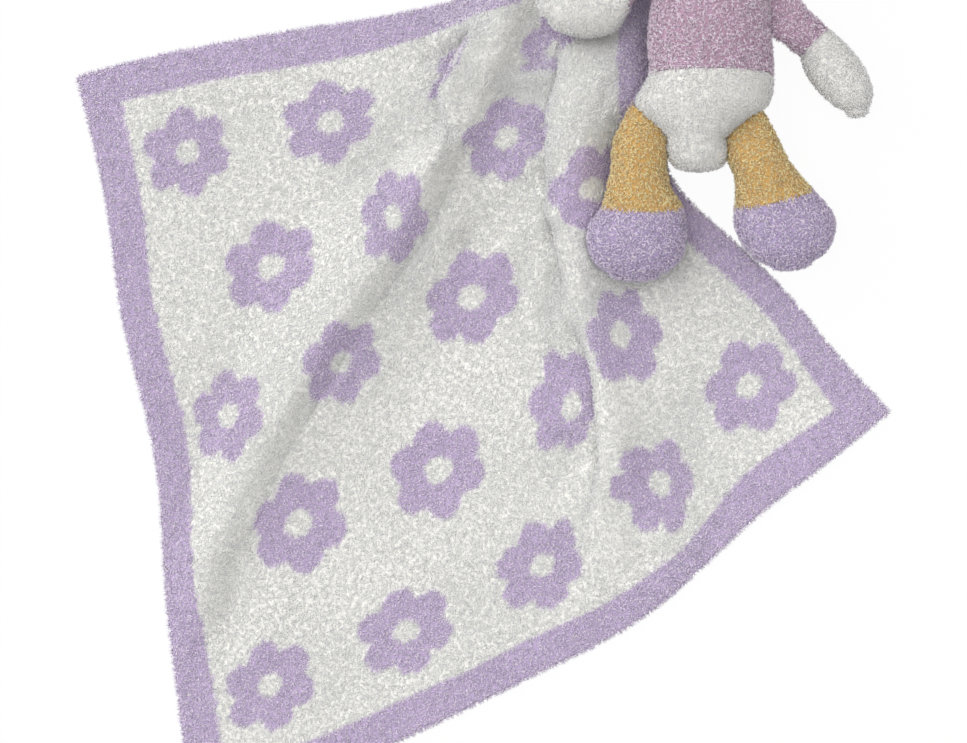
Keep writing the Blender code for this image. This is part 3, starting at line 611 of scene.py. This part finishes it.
def tufts(roots, normals, colours, length, radius, seed, lift=(0.15, 0.7), lean=None):
    """Slim three-sided spindles, one to a root: points and triangles, and a colour for every point.

    A tuft points along the normal times its lift plus a random way along the surface. It is widest
    at a share of its length, with painted shade at its root and painted light at its tip.
    """
    draw = np.random.default_rng(seed)
    count = len(roots)
    normals = np.where(np.linalg.norm(normals, axis=1, keepdims=True) > 0.1, normals, [0.0, 0.0, 1.0])
    aside = np.cross(normals, np.where(np.abs(normals[:, 2:]) < 0.8, [0.0, 0.0, 1.0], [1.0, 0.0, 0.0]))
    aside /= np.linalg.norm(aside, axis=1, keepdims=True)
    ahead = np.cross(normals, aside)
    turn = draw.uniform(0, 2 * np.pi, count)[:, None]
    way = np.cos(turn) * aside + np.sin(turn) * ahead
    way = way + normals * draw.uniform(*lift, count)[:, None]
    if lean is not None:
        way = way + lean
    way /= np.linalg.norm(way, axis=1, keepdims=True)
    side = np.cross(way, normals + 0.01 * aside)
    side /= np.maximum(np.linalg.norm(side, axis=1, keepdims=True), 1e-9)
    other = np.cross(way, side)
    size = radius * draw.uniform(*THICKNESS_SPREAD, count)[:, None]
    reach = way * length * draw.uniform(*LENGTH_SPREAD, count)[:, None]
    foot = roots - normals * radius * ROOT_DEPTH
    middle = roots + reach * WIDEST
    ring = [middle + (np.cos(t) * side + np.sin(t) * other) * size for t in THIRDS]
    points = np.stack([*ring, roots + reach, foot], 1).reshape(-1, 3)
    points[:, 2] = np.maximum(points[:, 2], 0.0)
    first = np.arange(count)[:, None] * 5
    faces = np.concatenate([first + corners for corners in ([0, 1, 3], [1, 2, 3], [2, 0, 3],
                                                            [1, 0, 4], [2, 1, 4], [0, 2, 4])], 1)
    shade = lightness(colours) ** draw.uniform(*OWN_LIGHT, (count, 1))
    shade = np.minimum(shade, BRIGHTEST / colours.max(1, keepdims=True))
    own = np.minimum(colours * shade, LARGEST)
    # Painted light at the tip and painted shade at the sunken foot; the ring keeps the tuft's own random
    # tone.
    shades = np.stack([own, own, own, own * PAINTED_TIP_LIGHT, painted_root_shade(own)], 1).reshape(-1, 3)
    return points, faces.reshape(-1, 3), np.clip(shades, 0, LARGEST)


def tuft_places(count):
    """A small square of the bake picture for every tuft, split into its six triangles."""
    side = int(np.ceil(np.sqrt(count)))
    k = np.arange(count)
    corner = np.column_stack([k % side, k // side]) / side
    upper = [[(0.05 + a, 0.52), (0.30 + a, 0.52), (0.175 + a, 0.95)] for a in (0.0, 0.3, 0.6)]
    lower = [[(0.30 + a, 0.48), (0.05 + a, 0.48), (0.175 + a, 0.05)] for a in (0.0, 0.3, 0.6)]
    shape = np.array(upper + lower)
    return (corner[:, None, None] + shape[None] / side).reshape(-1, 2)


def pile_pieces(stem, points, faces, shades, material, body, slot):
    """The tufts as pieces, each with no more tufts than the given most."""
    count = len(points) // 5
    parts = int(np.ceil(count / MOST_TUFTS))
    made = []
    for part, chunk in enumerate(np.array_split(np.arange(count), parts)):
        a, b = chunk[0], chunk[-1] + 1
        name = f"{stem}_{part + 1}" if parts > 1 else stem
        piece = make_piece(name, points[a * 5:b * 5], faces[a * 6:b * 6] - a * 5,
                           shades[a * 5:b * 5], tuft_places(b - a), material)
        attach(piece, body)
        made.append(piece)
    return made


def scattered(step, seed):
    """Places on the flat cloth, one in each square of the step's size, anywhere in it."""
    draw = np.random.default_rng(seed)
    u, v = np.meshgrid(np.arange(0, WIDTH_PX, step), np.arange(0, LENGTH_PX, step))
    u, v = u.ravel(), v.ravel()
    return u + draw.uniform(0, step, len(u)), v + draw.uniform(0, step, len(v))


def yarn_colour(u, v):
    """Lavender where the knitting is lavender, else off-white."""
    return np.where(is_lavender(u, v)[:, None], LAVENDER, OFF_WHITE)


u, v = scattered(TUFT_STEP, 21)
roots, normals = from_grid(cloth_top, u, v), from_grid(cloth_normal, u, v)
upper_pile = tufts(roots, normals, yarn_colour(u, v), TUFT_LENGTH, TUFT_RADIUS, 22)
pile = pile_pieces("blanket_pile", *upper_pile, knit_pile, "blanket_body", "blanket_knit")

u, v = scattered(UNDER_STEP, 23)
roots, normals = from_grid(cloth_under, u, v), -from_grid(cloth_normal, u, v)
raised = roots[:, 2] > TUFT_LENGTH
under_pile = tufts(roots[raised], normals[raised], yarn_colour(u, v)[raised], TUFT_LENGTH,
                   TUFT_RADIUS * UNDER_THICKER, 24, lift=(0.1, 0.5))

draw = np.random.default_rng(25)
corners = np.cumsum([0, WIDTH_PX, LENGTH_PX, WIDTH_PX, LENGTH_PX])
run = draw.uniform(0, corners[-1], RIM_TUFTS)
u = np.interp(run, corners, [0, WIDTH_PX, WIDTH_PX, 0, 0])
v = np.interp(run, corners, [0, 0, LENGTH_PX, LENGTH_PX, 0])
inner_u = np.clip(u, RIM_INWARD, WIDTH_PX - RIM_INWARD)
inner_v = np.clip(v, RIM_INWARD, LENGTH_PX - RIM_INWARD)
edge = (from_grid(cloth_top, u, v) + from_grid(cloth_under, u, v)) / 2
out = edge - from_grid(cloth_middle, inner_u, inner_v)
out /= np.linalg.norm(out, axis=1, keepdims=True)
normals = from_grid(cloth_normal, u, v)
edge = edge + normals * draw.uniform(*RIM_SPREAD, len(u))[:, None] * CLOTH_THICKNESS
rim_pile = tufts(edge, normals, yarn_colour(u, v), TUFT_LENGTH * RIM_SHORTER, TUFT_RADIUS, 26,
                 lift=(0.0, 0.5), lean=out * RIM_LEAN)
counts = len(under_pile[0])
edge_pile = (np.vstack([under_pile[0], rim_pile[0]]), np.vstack([under_pile[1], rim_pile[1] + counts]),
             np.vstack([under_pile[2], rim_pile[2]]))
pile += pile_pieces("blanket_edge_pile", *edge_pile, knit_pile, "blanket_body", "blanket_knit")


# The hand's tack: a few turns of waxed thread that tie the hand down to the cloth, wound round
# themselves into a short shank. It is mostly hidden under the hand.
TACK_RINGS = 40
TACK_SIDES = 24
TACK_TURNS = 5
TACK_CORE, TACK_PLY, TACK_PLIES = 0.86, 0.12, 3
low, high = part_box("hand_tack")
tack_middle = (np.array(low) + np.array(high)) / 2
tack_radius = (high.x - low.x) / 2


def closed_rings(rings, name, colours, material, ends="poles"):
    """A skin over rings of points: squares between them, and a fan to the middle at both ends.

    With the ends joined the last ring meets the first, as for a tube with an inner wall.
    """
    count, sides = rings.shape[:2]
    points = rings.reshape(-1, 3)
    at = np.arange(count * sides).reshape(count, sides)
    ahead = np.roll(at, -1, axis=1)
    steps = at if ends == "joined" else at[:-1]
    following = np.roll(at, -1, axis=0) if ends == "joined" else at[1:]
    next_ahead = np.roll(following, -1, axis=1)
    ahead = ahead if ends == "joined" else ahead[:-1]
    squares = np.stack([steps, ahead, next_ahead, following], -1).reshape(-1, 4)
    triangles = np.vstack([squares[:, [0, 1, 2]], squares[:, [0, 2, 3]]])
    i, j = np.divmod(np.arange(len(squares)), sides)
    wide, tall = 1 / sides, 0.9 / max(len(squares) // sides, 1)
    low_left = np.column_stack([j * wide, i * tall])
    square_uv = np.stack([low_left, low_left + [wide, 0], low_left + [wide, tall],
                          low_left + [0, tall]], 1)
    uv = np.vstack([square_uv[:, [0, 1, 2]], square_uv[:, [0, 2, 3]]])
    if ends != "joined":
        poles = np.vstack([rings[0].mean(0), rings[-1].mean(0)])
        turns = np.arange(sides) * 2 * np.pi / sides
        disc = np.column_stack([np.cos(turns), np.sin(turns)]) * 0.022
        for pole, row, flip, place in ((0, at[0], True, 0.1), (1, at[-1], False, 0.3)):
            hub = np.full(sides, count * sides + pole)
            fan = np.stack([hub, row, np.roll(row, -1)], -1)
            fan_uv = np.stack([np.zeros_like(disc), disc, np.roll(disc, -1, axis=0)], 1)
            fan_uv = fan_uv + [place, 0.95]
            if flip:
                fan, fan_uv = fan[:, ::-1], fan_uv[:, ::-1]
            triangles, uv = np.vstack([triangles, fan]), np.vstack([uv, fan_uv])
        points = np.vstack([points, poles])
        colours = np.vstack([colours.reshape(-1, 3), colours.reshape(-1, 3)[[0, -1]]])
    return make_piece(name, points, triangles, colours.reshape(-1, 3), uv.reshape(-1, 2), material)


up, turn = np.meshgrid(np.linspace(0, 1, TACK_RINGS), np.arange(TACK_SIDES) * 2 * np.pi / TACK_SIDES,
                       indexing="ij")
wound = tack_radius * (TACK_CORE + TACK_PLY * np.cos(turn - up * TACK_TURNS * 2 * np.pi * TACK_PLIES))
rings = np.stack([tack_middle[0] + wound * np.cos(turn), tack_middle[1] + wound * np.sin(turn),
                  low.z + up * (high.z - low.z)], -1)
thread = chenille("waxed thread", 900.0, 0.10)
tack = closed_rings(rings, "tack", np.broadcast_to(OFF_WHITE, rings.shape), thread)
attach(tack, "blanket_body")
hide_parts("hand_tack")


# The toy's torso: a knitted pink sweater sewn over the stuffed body, and the off-white seat below
# its hem. Both are the same soft chenille, one tube that narrows to the neck and rounds off below.
TOY_PX = 0.366 / 470
FLOOR_FLAT = 0.0005
COVER = 0.001
PILE_ROOM = 0.0018
STUFFING_INSET = 0.0044
TORSO_INSET = 0.0070
TOY_TUFT_LENGTH = 0.0044
TOY_TUFT_RADIUS = 0.00054
TOY_TUFT_STEP = 0.00145
FORM_RINGS = 72
FORM_SIDES = 72
PINK = np.array([0.88, 0.70, 0.84])
CREAM = np.array([0.93, 0.93, 0.92])
FILL = np.array([0.93, 0.93, 0.91])
TORSO = (
    (683, -38, 735, -38, 24), (671, -30, 747, -30, 32), (658, -15, 760, -15, 42),
    (650, 5, 769, 5, 48), (646, 40, 771, 40, 51), (647, 76, 773, 76, 52),
    (634, 103, 769, 103, 50), (646, 120, 748, 120, 44), (663, 136, 727, 138, 37),
    (665, 152, 728, 152, 30), (672, 165, 722, 165, 20),
)
TORSO_END = (697, 171)
HEM_BOW = 6
TORSO_HEIGHT = 0.03999
SWEATER_RINGS = 6
SEAM_DEPTH = 0.004
LEAST_SHARE = 0.02
BOW_REACH = 1.5
FILLING_RINGS = 48
LUMPS = 0.04
END_GAP = 0.002


def toy_place(x, y):
    """Metres across and up for a place in the picture, at the toy's scale from the hand's place."""
    return np.array([HAND_PLACE[0] + (x - HAND_PX[0]) * TOY_PX,
                     HAND_PLACE[1] + (HAND_PX[1] - y) * TOY_PX])


def stations(table, heights, end, seam=None):
    """Every cross-section as a middle, a half width with its direction, and a half depth, and then
    the end as a point. The first one may be moved along by a seam."""
    rows = []
    for (ax, ay, bx, by, deep), height in zip(table, heights):
        a, b = toy_place(ax, ay), toy_place(bx, by)
        rows.append([*((a + b) / 2), height, *((b - a) / 2), deep * TOY_PX or SEAM_DEPTH])
    rows = np.array(rows)
    if seam is not None:
        rows[0, :2] += seam
    return np.vstack([rows, [*toy_place(*end), rows[-1, 2], 0, 0, 0]])


def eased_rows(rows, shares):
    """Cross-sections at shares of the way along: a cubic through each run's ends, whose slopes are
    those between the neighbours. On the last run the widths follow a circle to the end."""
    where = np.clip(shares, 0, len(rows) - 1.000001)
    i = where.astype(int)
    t = (where - i)[:, None]
    slopes = np.gradient(rows, axis=0)
    a, b, da, db = rows[i], rows[i + 1], slopes[i], slopes[i + 1]
    eased = (a * (2 * t ** 3 - 3 * t ** 2 + 1) + b * (3 * t ** 2 - 2 * t ** 3)
             + da * (t ** 3 - 2 * t ** 2 + t) + db * (t ** 3 - t ** 2))
    last = i == len(rows) - 2
    turn = t[last] * np.pi / 2
    before = rows[-2]
    eased[last, :3] = before[:3] + (rows[-1, :3] - before[:3]) * np.sin(turn)
    eased[last, 3:] = before[3:] * np.cos(turn)
    return eased


def form(rows, shares, sides, inset, bow=None):
    """Rings round a form: an upright oval at every share, its edge to either side of the middle.

    A bow moves the upper part of the rings near its share along the form, by a cosine bell over a
    share and a half to either side. What would go below the floor is laid flat on it.
    """
    eased = eased_rows(rows, shares)
    turn = np.arange(sides) * 2 * np.pi / sides
    wide = np.linalg.norm(eased[:, 3:5], axis=1)
    keep = np.clip(1 - inset / np.maximum(wide, 1e-9), LEAST_SHARE, 1)
    half = eased[:, 3:5] * keep[:, None]
    deep = np.maximum(eased[:, 5] - inset, LEAST_SHARE * eased[:, 5])
    ring = np.empty((len(shares), sides, 3))
    ring[..., :2] = eased[:, None, :2] + np.cos(turn)[None, :, None] * half[:, None]
    ring[..., 2] = eased[:, None, 2] + np.sin(turn)[None] * deep[:, None]
    if bow is not None:
        where, reach = bow
        bell = (1 + np.cos(np.clip((shares - where) / BOW_REACH, -1, 1) * np.pi)) / 2
        along = np.column_stack([-half[:, 1], half[:, 0]]) / np.maximum(wide, 1e-9)[:, None]
        moved = (bell * reach * TOY_PX)[:, None] * np.maximum(np.sin(turn), 0)[None]
        ring[..., :2] += along[:, None] * moved[..., None]
    ring[..., 2] = np.maximum(ring[..., 2], inset)
    return ring


def outward(ring_points):
    """Normals of a form's skin, away from the middle of each ring."""
    normal = np.cross(np.gradient(ring_points, axis=0),
                      (np.roll(ring_points, -1, 1) - np.roll(ring_points, 1, 1)) / 2)
    away = ring_points - ring_points.mean(1, keepdims=True)
    normal *= np.where((normal * away).sum(2).mean() < 0, -1, 1)
    return normal / np.maximum(np.linalg.norm(normal, axis=2, keepdims=True), 1e-12)


def fur(stem, ring_points, colour, seed, body, slot, material):
    """Tufts on a form: as many in every cell of the skin as its area asks for."""
    draw = np.random.default_rng(seed)
    normal = outward(ring_points)
    nxt = np.roll(ring_points, -1, 1)
    a, b, c, d = ring_points[:-1], nxt[:-1], nxt[1:], ring_points[1:]
    area = (np.linalg.norm(np.cross(b - a, c - a), axis=2)
            + np.linalg.norm(np.cross(c - a, d - a), axis=2)) / 2
    want = area.ravel() / TOY_TUFT_STEP ** 2
    number = (want + draw.uniform(0, 1, want.shape)).astype(int)
    cell = np.repeat(np.arange(len(number)), number)
    i, j = np.divmod(cell, ring_points.shape[1])
    k = (j + 1) % ring_points.shape[1]
    s, t = draw.uniform(0, 1, (2, len(cell), 1))

    def between(values):
        """Values of the rings' points at every tuft, straight between the corners of its cell."""
        low = values[i, j] * (1 - s) + values[i, k] * s
        high = values[i + 1, j] * (1 - s) + values[i + 1, k] * s
        return low * (1 - t) + high * t

    roots, normals = between(ring_points), between(normal)
    pile = tufts(roots, normals, np.broadcast_to(colour, roots.shape), TOY_TUFT_LENGTH,
                 TOY_TUFT_RADIUS, seed + 1)
    pile_pieces(stem, *pile, material, body, slot)


def cover(name, rows, start, stop, colour, material, body, slot, node, seed,
          sides=FORM_SIDES, bow=None):
    """A sewn cover with its inner wall: the form from one share to another, and its pile."""
    shares = np.linspace(start, stop, FORM_RINGS)
    outer = form(rows, shares, sides, PILE_ROOM, bow)
    inner = form(rows, shares, sides, PILE_ROOM + COVER, bow)
    wall = np.concatenate([outer, inner[::-1]])
    # The cover's skin under its pile is painted with the shade that falls between the tufts.
    shaded_wall = np.broadcast_to(painted_root_shade(colour), wall.shape)
    piece = closed_rings(wall, name, shaded_wall, material, "joined")
    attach(piece, body)
    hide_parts(node)
    fur(name + "_pile", outer, colour, seed, body, slot, material)
    return outer


def filling(name, rows, start, stop, body, node, inset=STUFFING_INSET):
    """The fibre inside a cover: the same form, smaller by the cover and some slack, and lumpy."""
    shares = np.linspace(start, stop, FILLING_RINGS)
    rings = form(rows, shares, FILLING_RINGS, inset)
    middle = rings.mean(1, keepdims=True)
    at = np.arange(FILLING_RINGS)
    lumps = 1 - LUMPS * (1 + np.sin(at * 0.9)[:, None] * np.cos(at * 0.785))
    rings = middle + (rings - middle) * lumps[..., None]
    piece = closed_rings(rings, name, np.broadcast_to(FILL, rings.shape), fibre)
    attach(piece, body)
    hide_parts(node)


pink_knit = chenille("pink chenille", 420.0, 0.14)
cream_plush = chenille("off-white plush", 420.0, 0.10)
fibre = chenille("polyester fibre", 300.0, 0.05)
torso_rows = stations(TORSO, [TORSO_HEIGHT] * len(TORSO), TORSO_END)
hem = SWEATER_RINGS - 1
torso_end = len(torso_rows) - 1
PARTING = 0.012
cover("sweater_knit", torso_rows, 0, hem - PARTING, PINK, pink_knit, "toy_body", "pink_knit",
      "sweater", seed=31, bow=(hem, HEM_BOW))
cover("seat", torso_rows, hem + PARTING, torso_end - END_GAP, CREAM, cream_plush, "toy_body",
      "cream_plush", "lower_body", seed=33, bow=(hem, HEM_BOW))
filling("torso_fibre", torso_rows, 0.3, torso_end - 0.6, "toy_body", "torso_stuffing", TORSO_INSET)


# The arms: pink sleeves sewn to the sweater's sides, with off-white mitten hands. One hand lies on
# the gathered cloth and is tacked to it, the other rests on the table.
FREE_ARM = (
    (771, -14, 771, 38, 0), (792, -4, 785, 47, 15), (810, 13, 791, 53, 20),
    (827, 28, 799, 58, 21), (848, 47, 803, 71, 25), (864, 68, 813, 87, 27),
    (872, 89, 828, 102, 25), (869, 106, 843, 111, 16),
)
FREE_ARM_END = (858, 117)
HOLDING_ARM = (
    (674, -42, 649, -2, 0), (654, -44, 632, 3, 15), (638, -37, 625, 17, 21),
    (619, -30, 614, 33, 25), (596, -26, 595, 39, 28), (572, -22, 574, 38, 27),
    (554, -14, 556, 32, 22), (545, -4, 547, 20, 13),
)
HOLDING_ARM_END = (541, 8)
SEAM_OFF = -0.0012
FREE_HAND_HEIGHT = 27 * TOY_PX - FLOOR_FLAT
HOLDING_HAND_HEIGHT = 0.0367


def run_down(table, first, last):
    """Middle heights of a limb: eased from its seam's height to its own at the thickest part."""
    thickest = max(range(len(table)), key=lambda i: table[i][4])
    return [first + (last - first) * float(smooth(min(i / thickest, 1.0))) for i in range(len(table))]


def limb(names, nodes, table, end, last_height, change, off, colours, materials, slots, body, seeds,
         bow=None):
    """A limb in two covers that meet at its change of colour, with its pile and its filling."""
    rows = stations(table, run_down(table, TORSO_HEIGHT, last_height), end, off)
    tip = len(rows) - 1
    bow = None if bow is None else (change, bow)
    cover(names[0], rows, 0, change - PARTING, colours[0], materials[0], body, slots[0], nodes[0],
          seed=seeds, bow=bow)
    cover(names[1], rows, change + PARTING, tip - END_GAP, colours[1], materials[1], body, slots[1],
          nodes[1], seed=seeds + 2, bow=bow)
    filling(names[2], rows, 0.8, tip - 0.35, body, nodes[2])


limb(("sleeve_free", "mitten_free", "free_arm_fibre"),
     ("free_sleeve", "free_mitten", "free_arm_stuffing"), FREE_ARM, FREE_ARM_END,
     FREE_HAND_HEIGHT, 3, (SEAM_OFF, 0.0), (PINK, CREAM), (pink_knit, cream_plush),
     ("pink_knit", "cream_plush"), "free_arm_body", 41)
limb(("sleeve_holding", "mitten_holding", "holding_arm_fibre"),
     ("holding_sleeve", "holding_mitten", "holding_arm_stuffing"), HOLDING_ARM, HOLDING_ARM_END,
     HOLDING_HAND_HEIGHT, 2, (-SEAM_OFF * 0.85, -SEAM_OFF * -0.53), (PINK, CREAM),
     (pink_knit, cream_plush), ("pink_knit", "cream_plush"), "toy_body", 51)


# The legs: golden plush sewn into the seat's seam, with round lavender feet. One leg lies over the
# blanket, the other on the table.
OVER_LEG = (
    (629, 106, 666, 133, 11), (612, 142, 668, 150, 25), (610, 166, 667, 170, 27),
    (605, 190, 672, 190, 28), (600, 208, 683, 208, 31), (588, 225, 686, 225, 35),
    (586, 242, 686, 242, 36), (592, 260, 680, 260, 32), (608, 273, 662, 273, 21),
)
OVER_LEG_END = (635, 280)
FREE_LEG = (
    (724, 137, 763, 110, 11), (724, 158, 776, 136, 25), (732, 176, 788, 160, 27),
    (734, 192, 800, 176, 28), (733, 208, 813, 190, 31), (733, 226, 832, 213, 35),
    (740, 243, 835, 229, 36), (752, 257, 828, 248, 32), (768, 265, 812, 260, 21),
)
FREE_LEG_END = (791, 269)
OVER_FOOT_HEIGHT = 0.0328
FREE_FOOT_HEIGHT = 36 * TOY_PX - FLOOR_FLAT
FOOT_BOW = -5
GOLDEN = np.array([0.99, 0.76, 0.42])
FOOT_LAVENDER = np.array([0.80, 0.71, 0.915])
golden_plush = chenille("golden plush", 420.0, 0.14)
lavender_plush = chenille("lavender plush", 420.0, 0.14)
limb(("leg_over", "foot_over", "over_leg_fibre"), ("over_leg", "over_foot", "over_leg_stuffing"),
     OVER_LEG, OVER_LEG_END, OVER_FOOT_HEIGHT, 4, (-SEAM_OFF * 0.63, -SEAM_OFF * 0.78),
     (GOLDEN, FOOT_LAVENDER), (golden_plush, lavender_plush), ("golden_plush", "lavender_plush"),
     "over_leg_body", 61, FOOT_BOW)
limb(("leg_free", "foot_free", "free_leg_fibre"), ("free_leg", "free_foot", "free_leg_stuffing"),
     FREE_LEG, FREE_LEG_END, FREE_FOOT_HEIGHT, 4, (SEAM_OFF * 0.59, -SEAM_OFF * 0.81),
     (GOLDEN, FOOT_LAVENDER), (golden_plush, lavender_plush), ("golden_plush", "lavender_plush"),
     "free_leg_body", 71, FOOT_BOW)


# The head: a stuffed ball of off-white plush on the sweater's neck, a plain small round-eared cub.
# Two flat ears are sewn into its sides, and the eyes and the nose are stitched in dark thread.
HEAD = (
    (683, -38.5, 735, -38.5, 24), (667, -50, 747, -50, 36), (647, -64, 767, -64, 51),
    (634, -87, 780, -87, 61), (630, -113, 784, -113, 64), (636, -140, 778, -140, 59),
    (653, -165, 761, -165, 45), (677, -183, 737, -183, 26),
)
HEAD_END = (707, -190)
HEAD_HEIGHT = 64 * TOY_PX - FLOOR_FLAT
EAR_MIDDLES = ((647, -170), (767, -170))
EAR_RADIUS = 27 * TOY_PX
EAR_HALF = 0.0075
EYE_MIDDLES = ((684, -110), (730, -110))
EYE_RADIUS = 0.005
NOSE_MIDDLE = (707, -86)
NOSE_HALF = (0.007, 0.0047)
STITCH_DARK = np.array([0.10, 0.075, 0.07])
STITCH_PROUD = 0.0040
STITCH_EDGE = 0.0014
SKIN_REACH = 0.014
STITCHES = 9
THREAD_HEIGHT = 0.00025
PATCH_RINGS, PATCH_SIDES = 26, 72
EAR_RINGS, EAR_SIDES = 40, 48
EAR_POLE = 0.03
EAR_DISH, EAR_DISH_REACH = 0.0022, 0.6
EAR_GROUND_SHADE = 0.82

head_heights = [TORSO_HEIGHT + (HEAD_HEIGHT - TORSO_HEIGHT) * min(i / 2, 1.0) for i in range(len(HEAD))]
head_rows = stations(HEAD, head_heights, HEAD_END)
head_end = len(head_rows) - 1
head_skin = cover("head_plush", head_rows, 0, head_end - END_GAP, CREAM, cream_plush, "head_body",
                  "cream_plush", "head_cover", seed=81, sides=96)
filling("head_fibre", head_rows, 0.5, head_end - 0.35, "head_body", "head_stuffing")

for side, (x, y), seed in zip(("left", "right"), EAR_MIDDLES, (91, 95)):
    middle = np.array([*toy_place(x, y), HEAD_HEIGHT])
    up, turn = np.meshgrid(np.linspace(EAR_POLE, np.pi - EAR_POLE, EAR_RINGS),
                           np.arange(EAR_SIDES) * 2 * np.pi / EAR_SIDES, indexing="ij")
    dish = EAR_DISH * np.exp(-(np.sin(up) / EAR_DISH_REACH) ** 2) * (np.cos(up) > 0)
    ball = np.stack([middle[0] + EAR_RADIUS * np.sin(up) * np.cos(turn),
                     middle[1] + EAR_RADIUS * np.sin(up) * np.sin(turn),
                     middle[2] + EAR_HALF * np.cos(up) - dish], -1)[::-1]
    # The ear's skin under its pile is painted darker, as the shade between its tufts.
    shaded_ground = np.broadcast_to(CREAM * EAR_GROUND_SHADE, ball.shape)
    ear = closed_rings(ball, side + "_ear_plush", shaded_ground, cream_plush)
    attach(ear, "head_body")
    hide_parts(side + "_ear")
    fur(side + "_ear_pile", ball, CREAM, seed, "head_body", "cream_plush", cream_plush)


def skin_height(skin, centre, x, y):
    """Height of the skin near a place: the quadratic surface that fits its upper points there best."""
    def terms(a, b):
        """One, a place's two measures, their squares and their product."""
        return np.stack([np.ones_like(a), a, b, a * a, a * b, b * b], -1)

    points = skin[skin[..., 2] > HEAD_HEIGHT]
    off = points[:, :2] - centre
    near = np.hypot(*off.T) < SKIN_REACH
    weights = np.linalg.lstsq(terms(*off[near].T), points[near, 2], rcond=None)[0]
    return terms(x, y) @ weights


def stitched(name, middle, half, node):
    """A satin-stitched patch: a low dome over the plush, ridged by rows of parallel thread."""
    centre = toy_place(*middle)
    r, turn = np.meshgrid(np.linspace(1, LEAST_SHARE, PATCH_RINGS),
                          np.arange(PATCH_SIDES) * 2 * np.pi / PATCH_SIDES, indexing="ij")
    x, y = half[0] * r * np.cos(turn), half[1] * r * np.sin(turn)
    ridge_height = THREAD_HEIGHT * np.abs(np.cos(x / half[0] * STITCHES * np.pi / 2))
    dome = STITCH_EDGE + (STITCH_PROUD - STITCH_EDGE) * (1 - r ** 2)
    top = skin_height(head_skin, centre, x, y) + dome + ridge_height
    upper = np.stack([centre[0] + x, centre[1] + y, top], -1)
    base = upper[:1] - [0, 0, 2 * STITCH_EDGE]
    rings = np.concatenate([base, upper])
    piece = closed_rings(rings, name, np.broadcast_to(STITCH_DARK, rings.shape), embroidery)
    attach(piece, "head_body")
    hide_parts(node)


embroidery = chenille("embroidery thread", 900.0, 0.2)
stitched("eye_left", EYE_MIDDLES[0], (EYE_RADIUS, EYE_RADIUS), "left_eye")
stitched("eye_right", EYE_MIDDLES[1], (EYE_RADIUS, EYE_RADIUS), "right_eye")
stitched("nose_patch", NOSE_MIDDLE, NOSE_HALF, "nose")
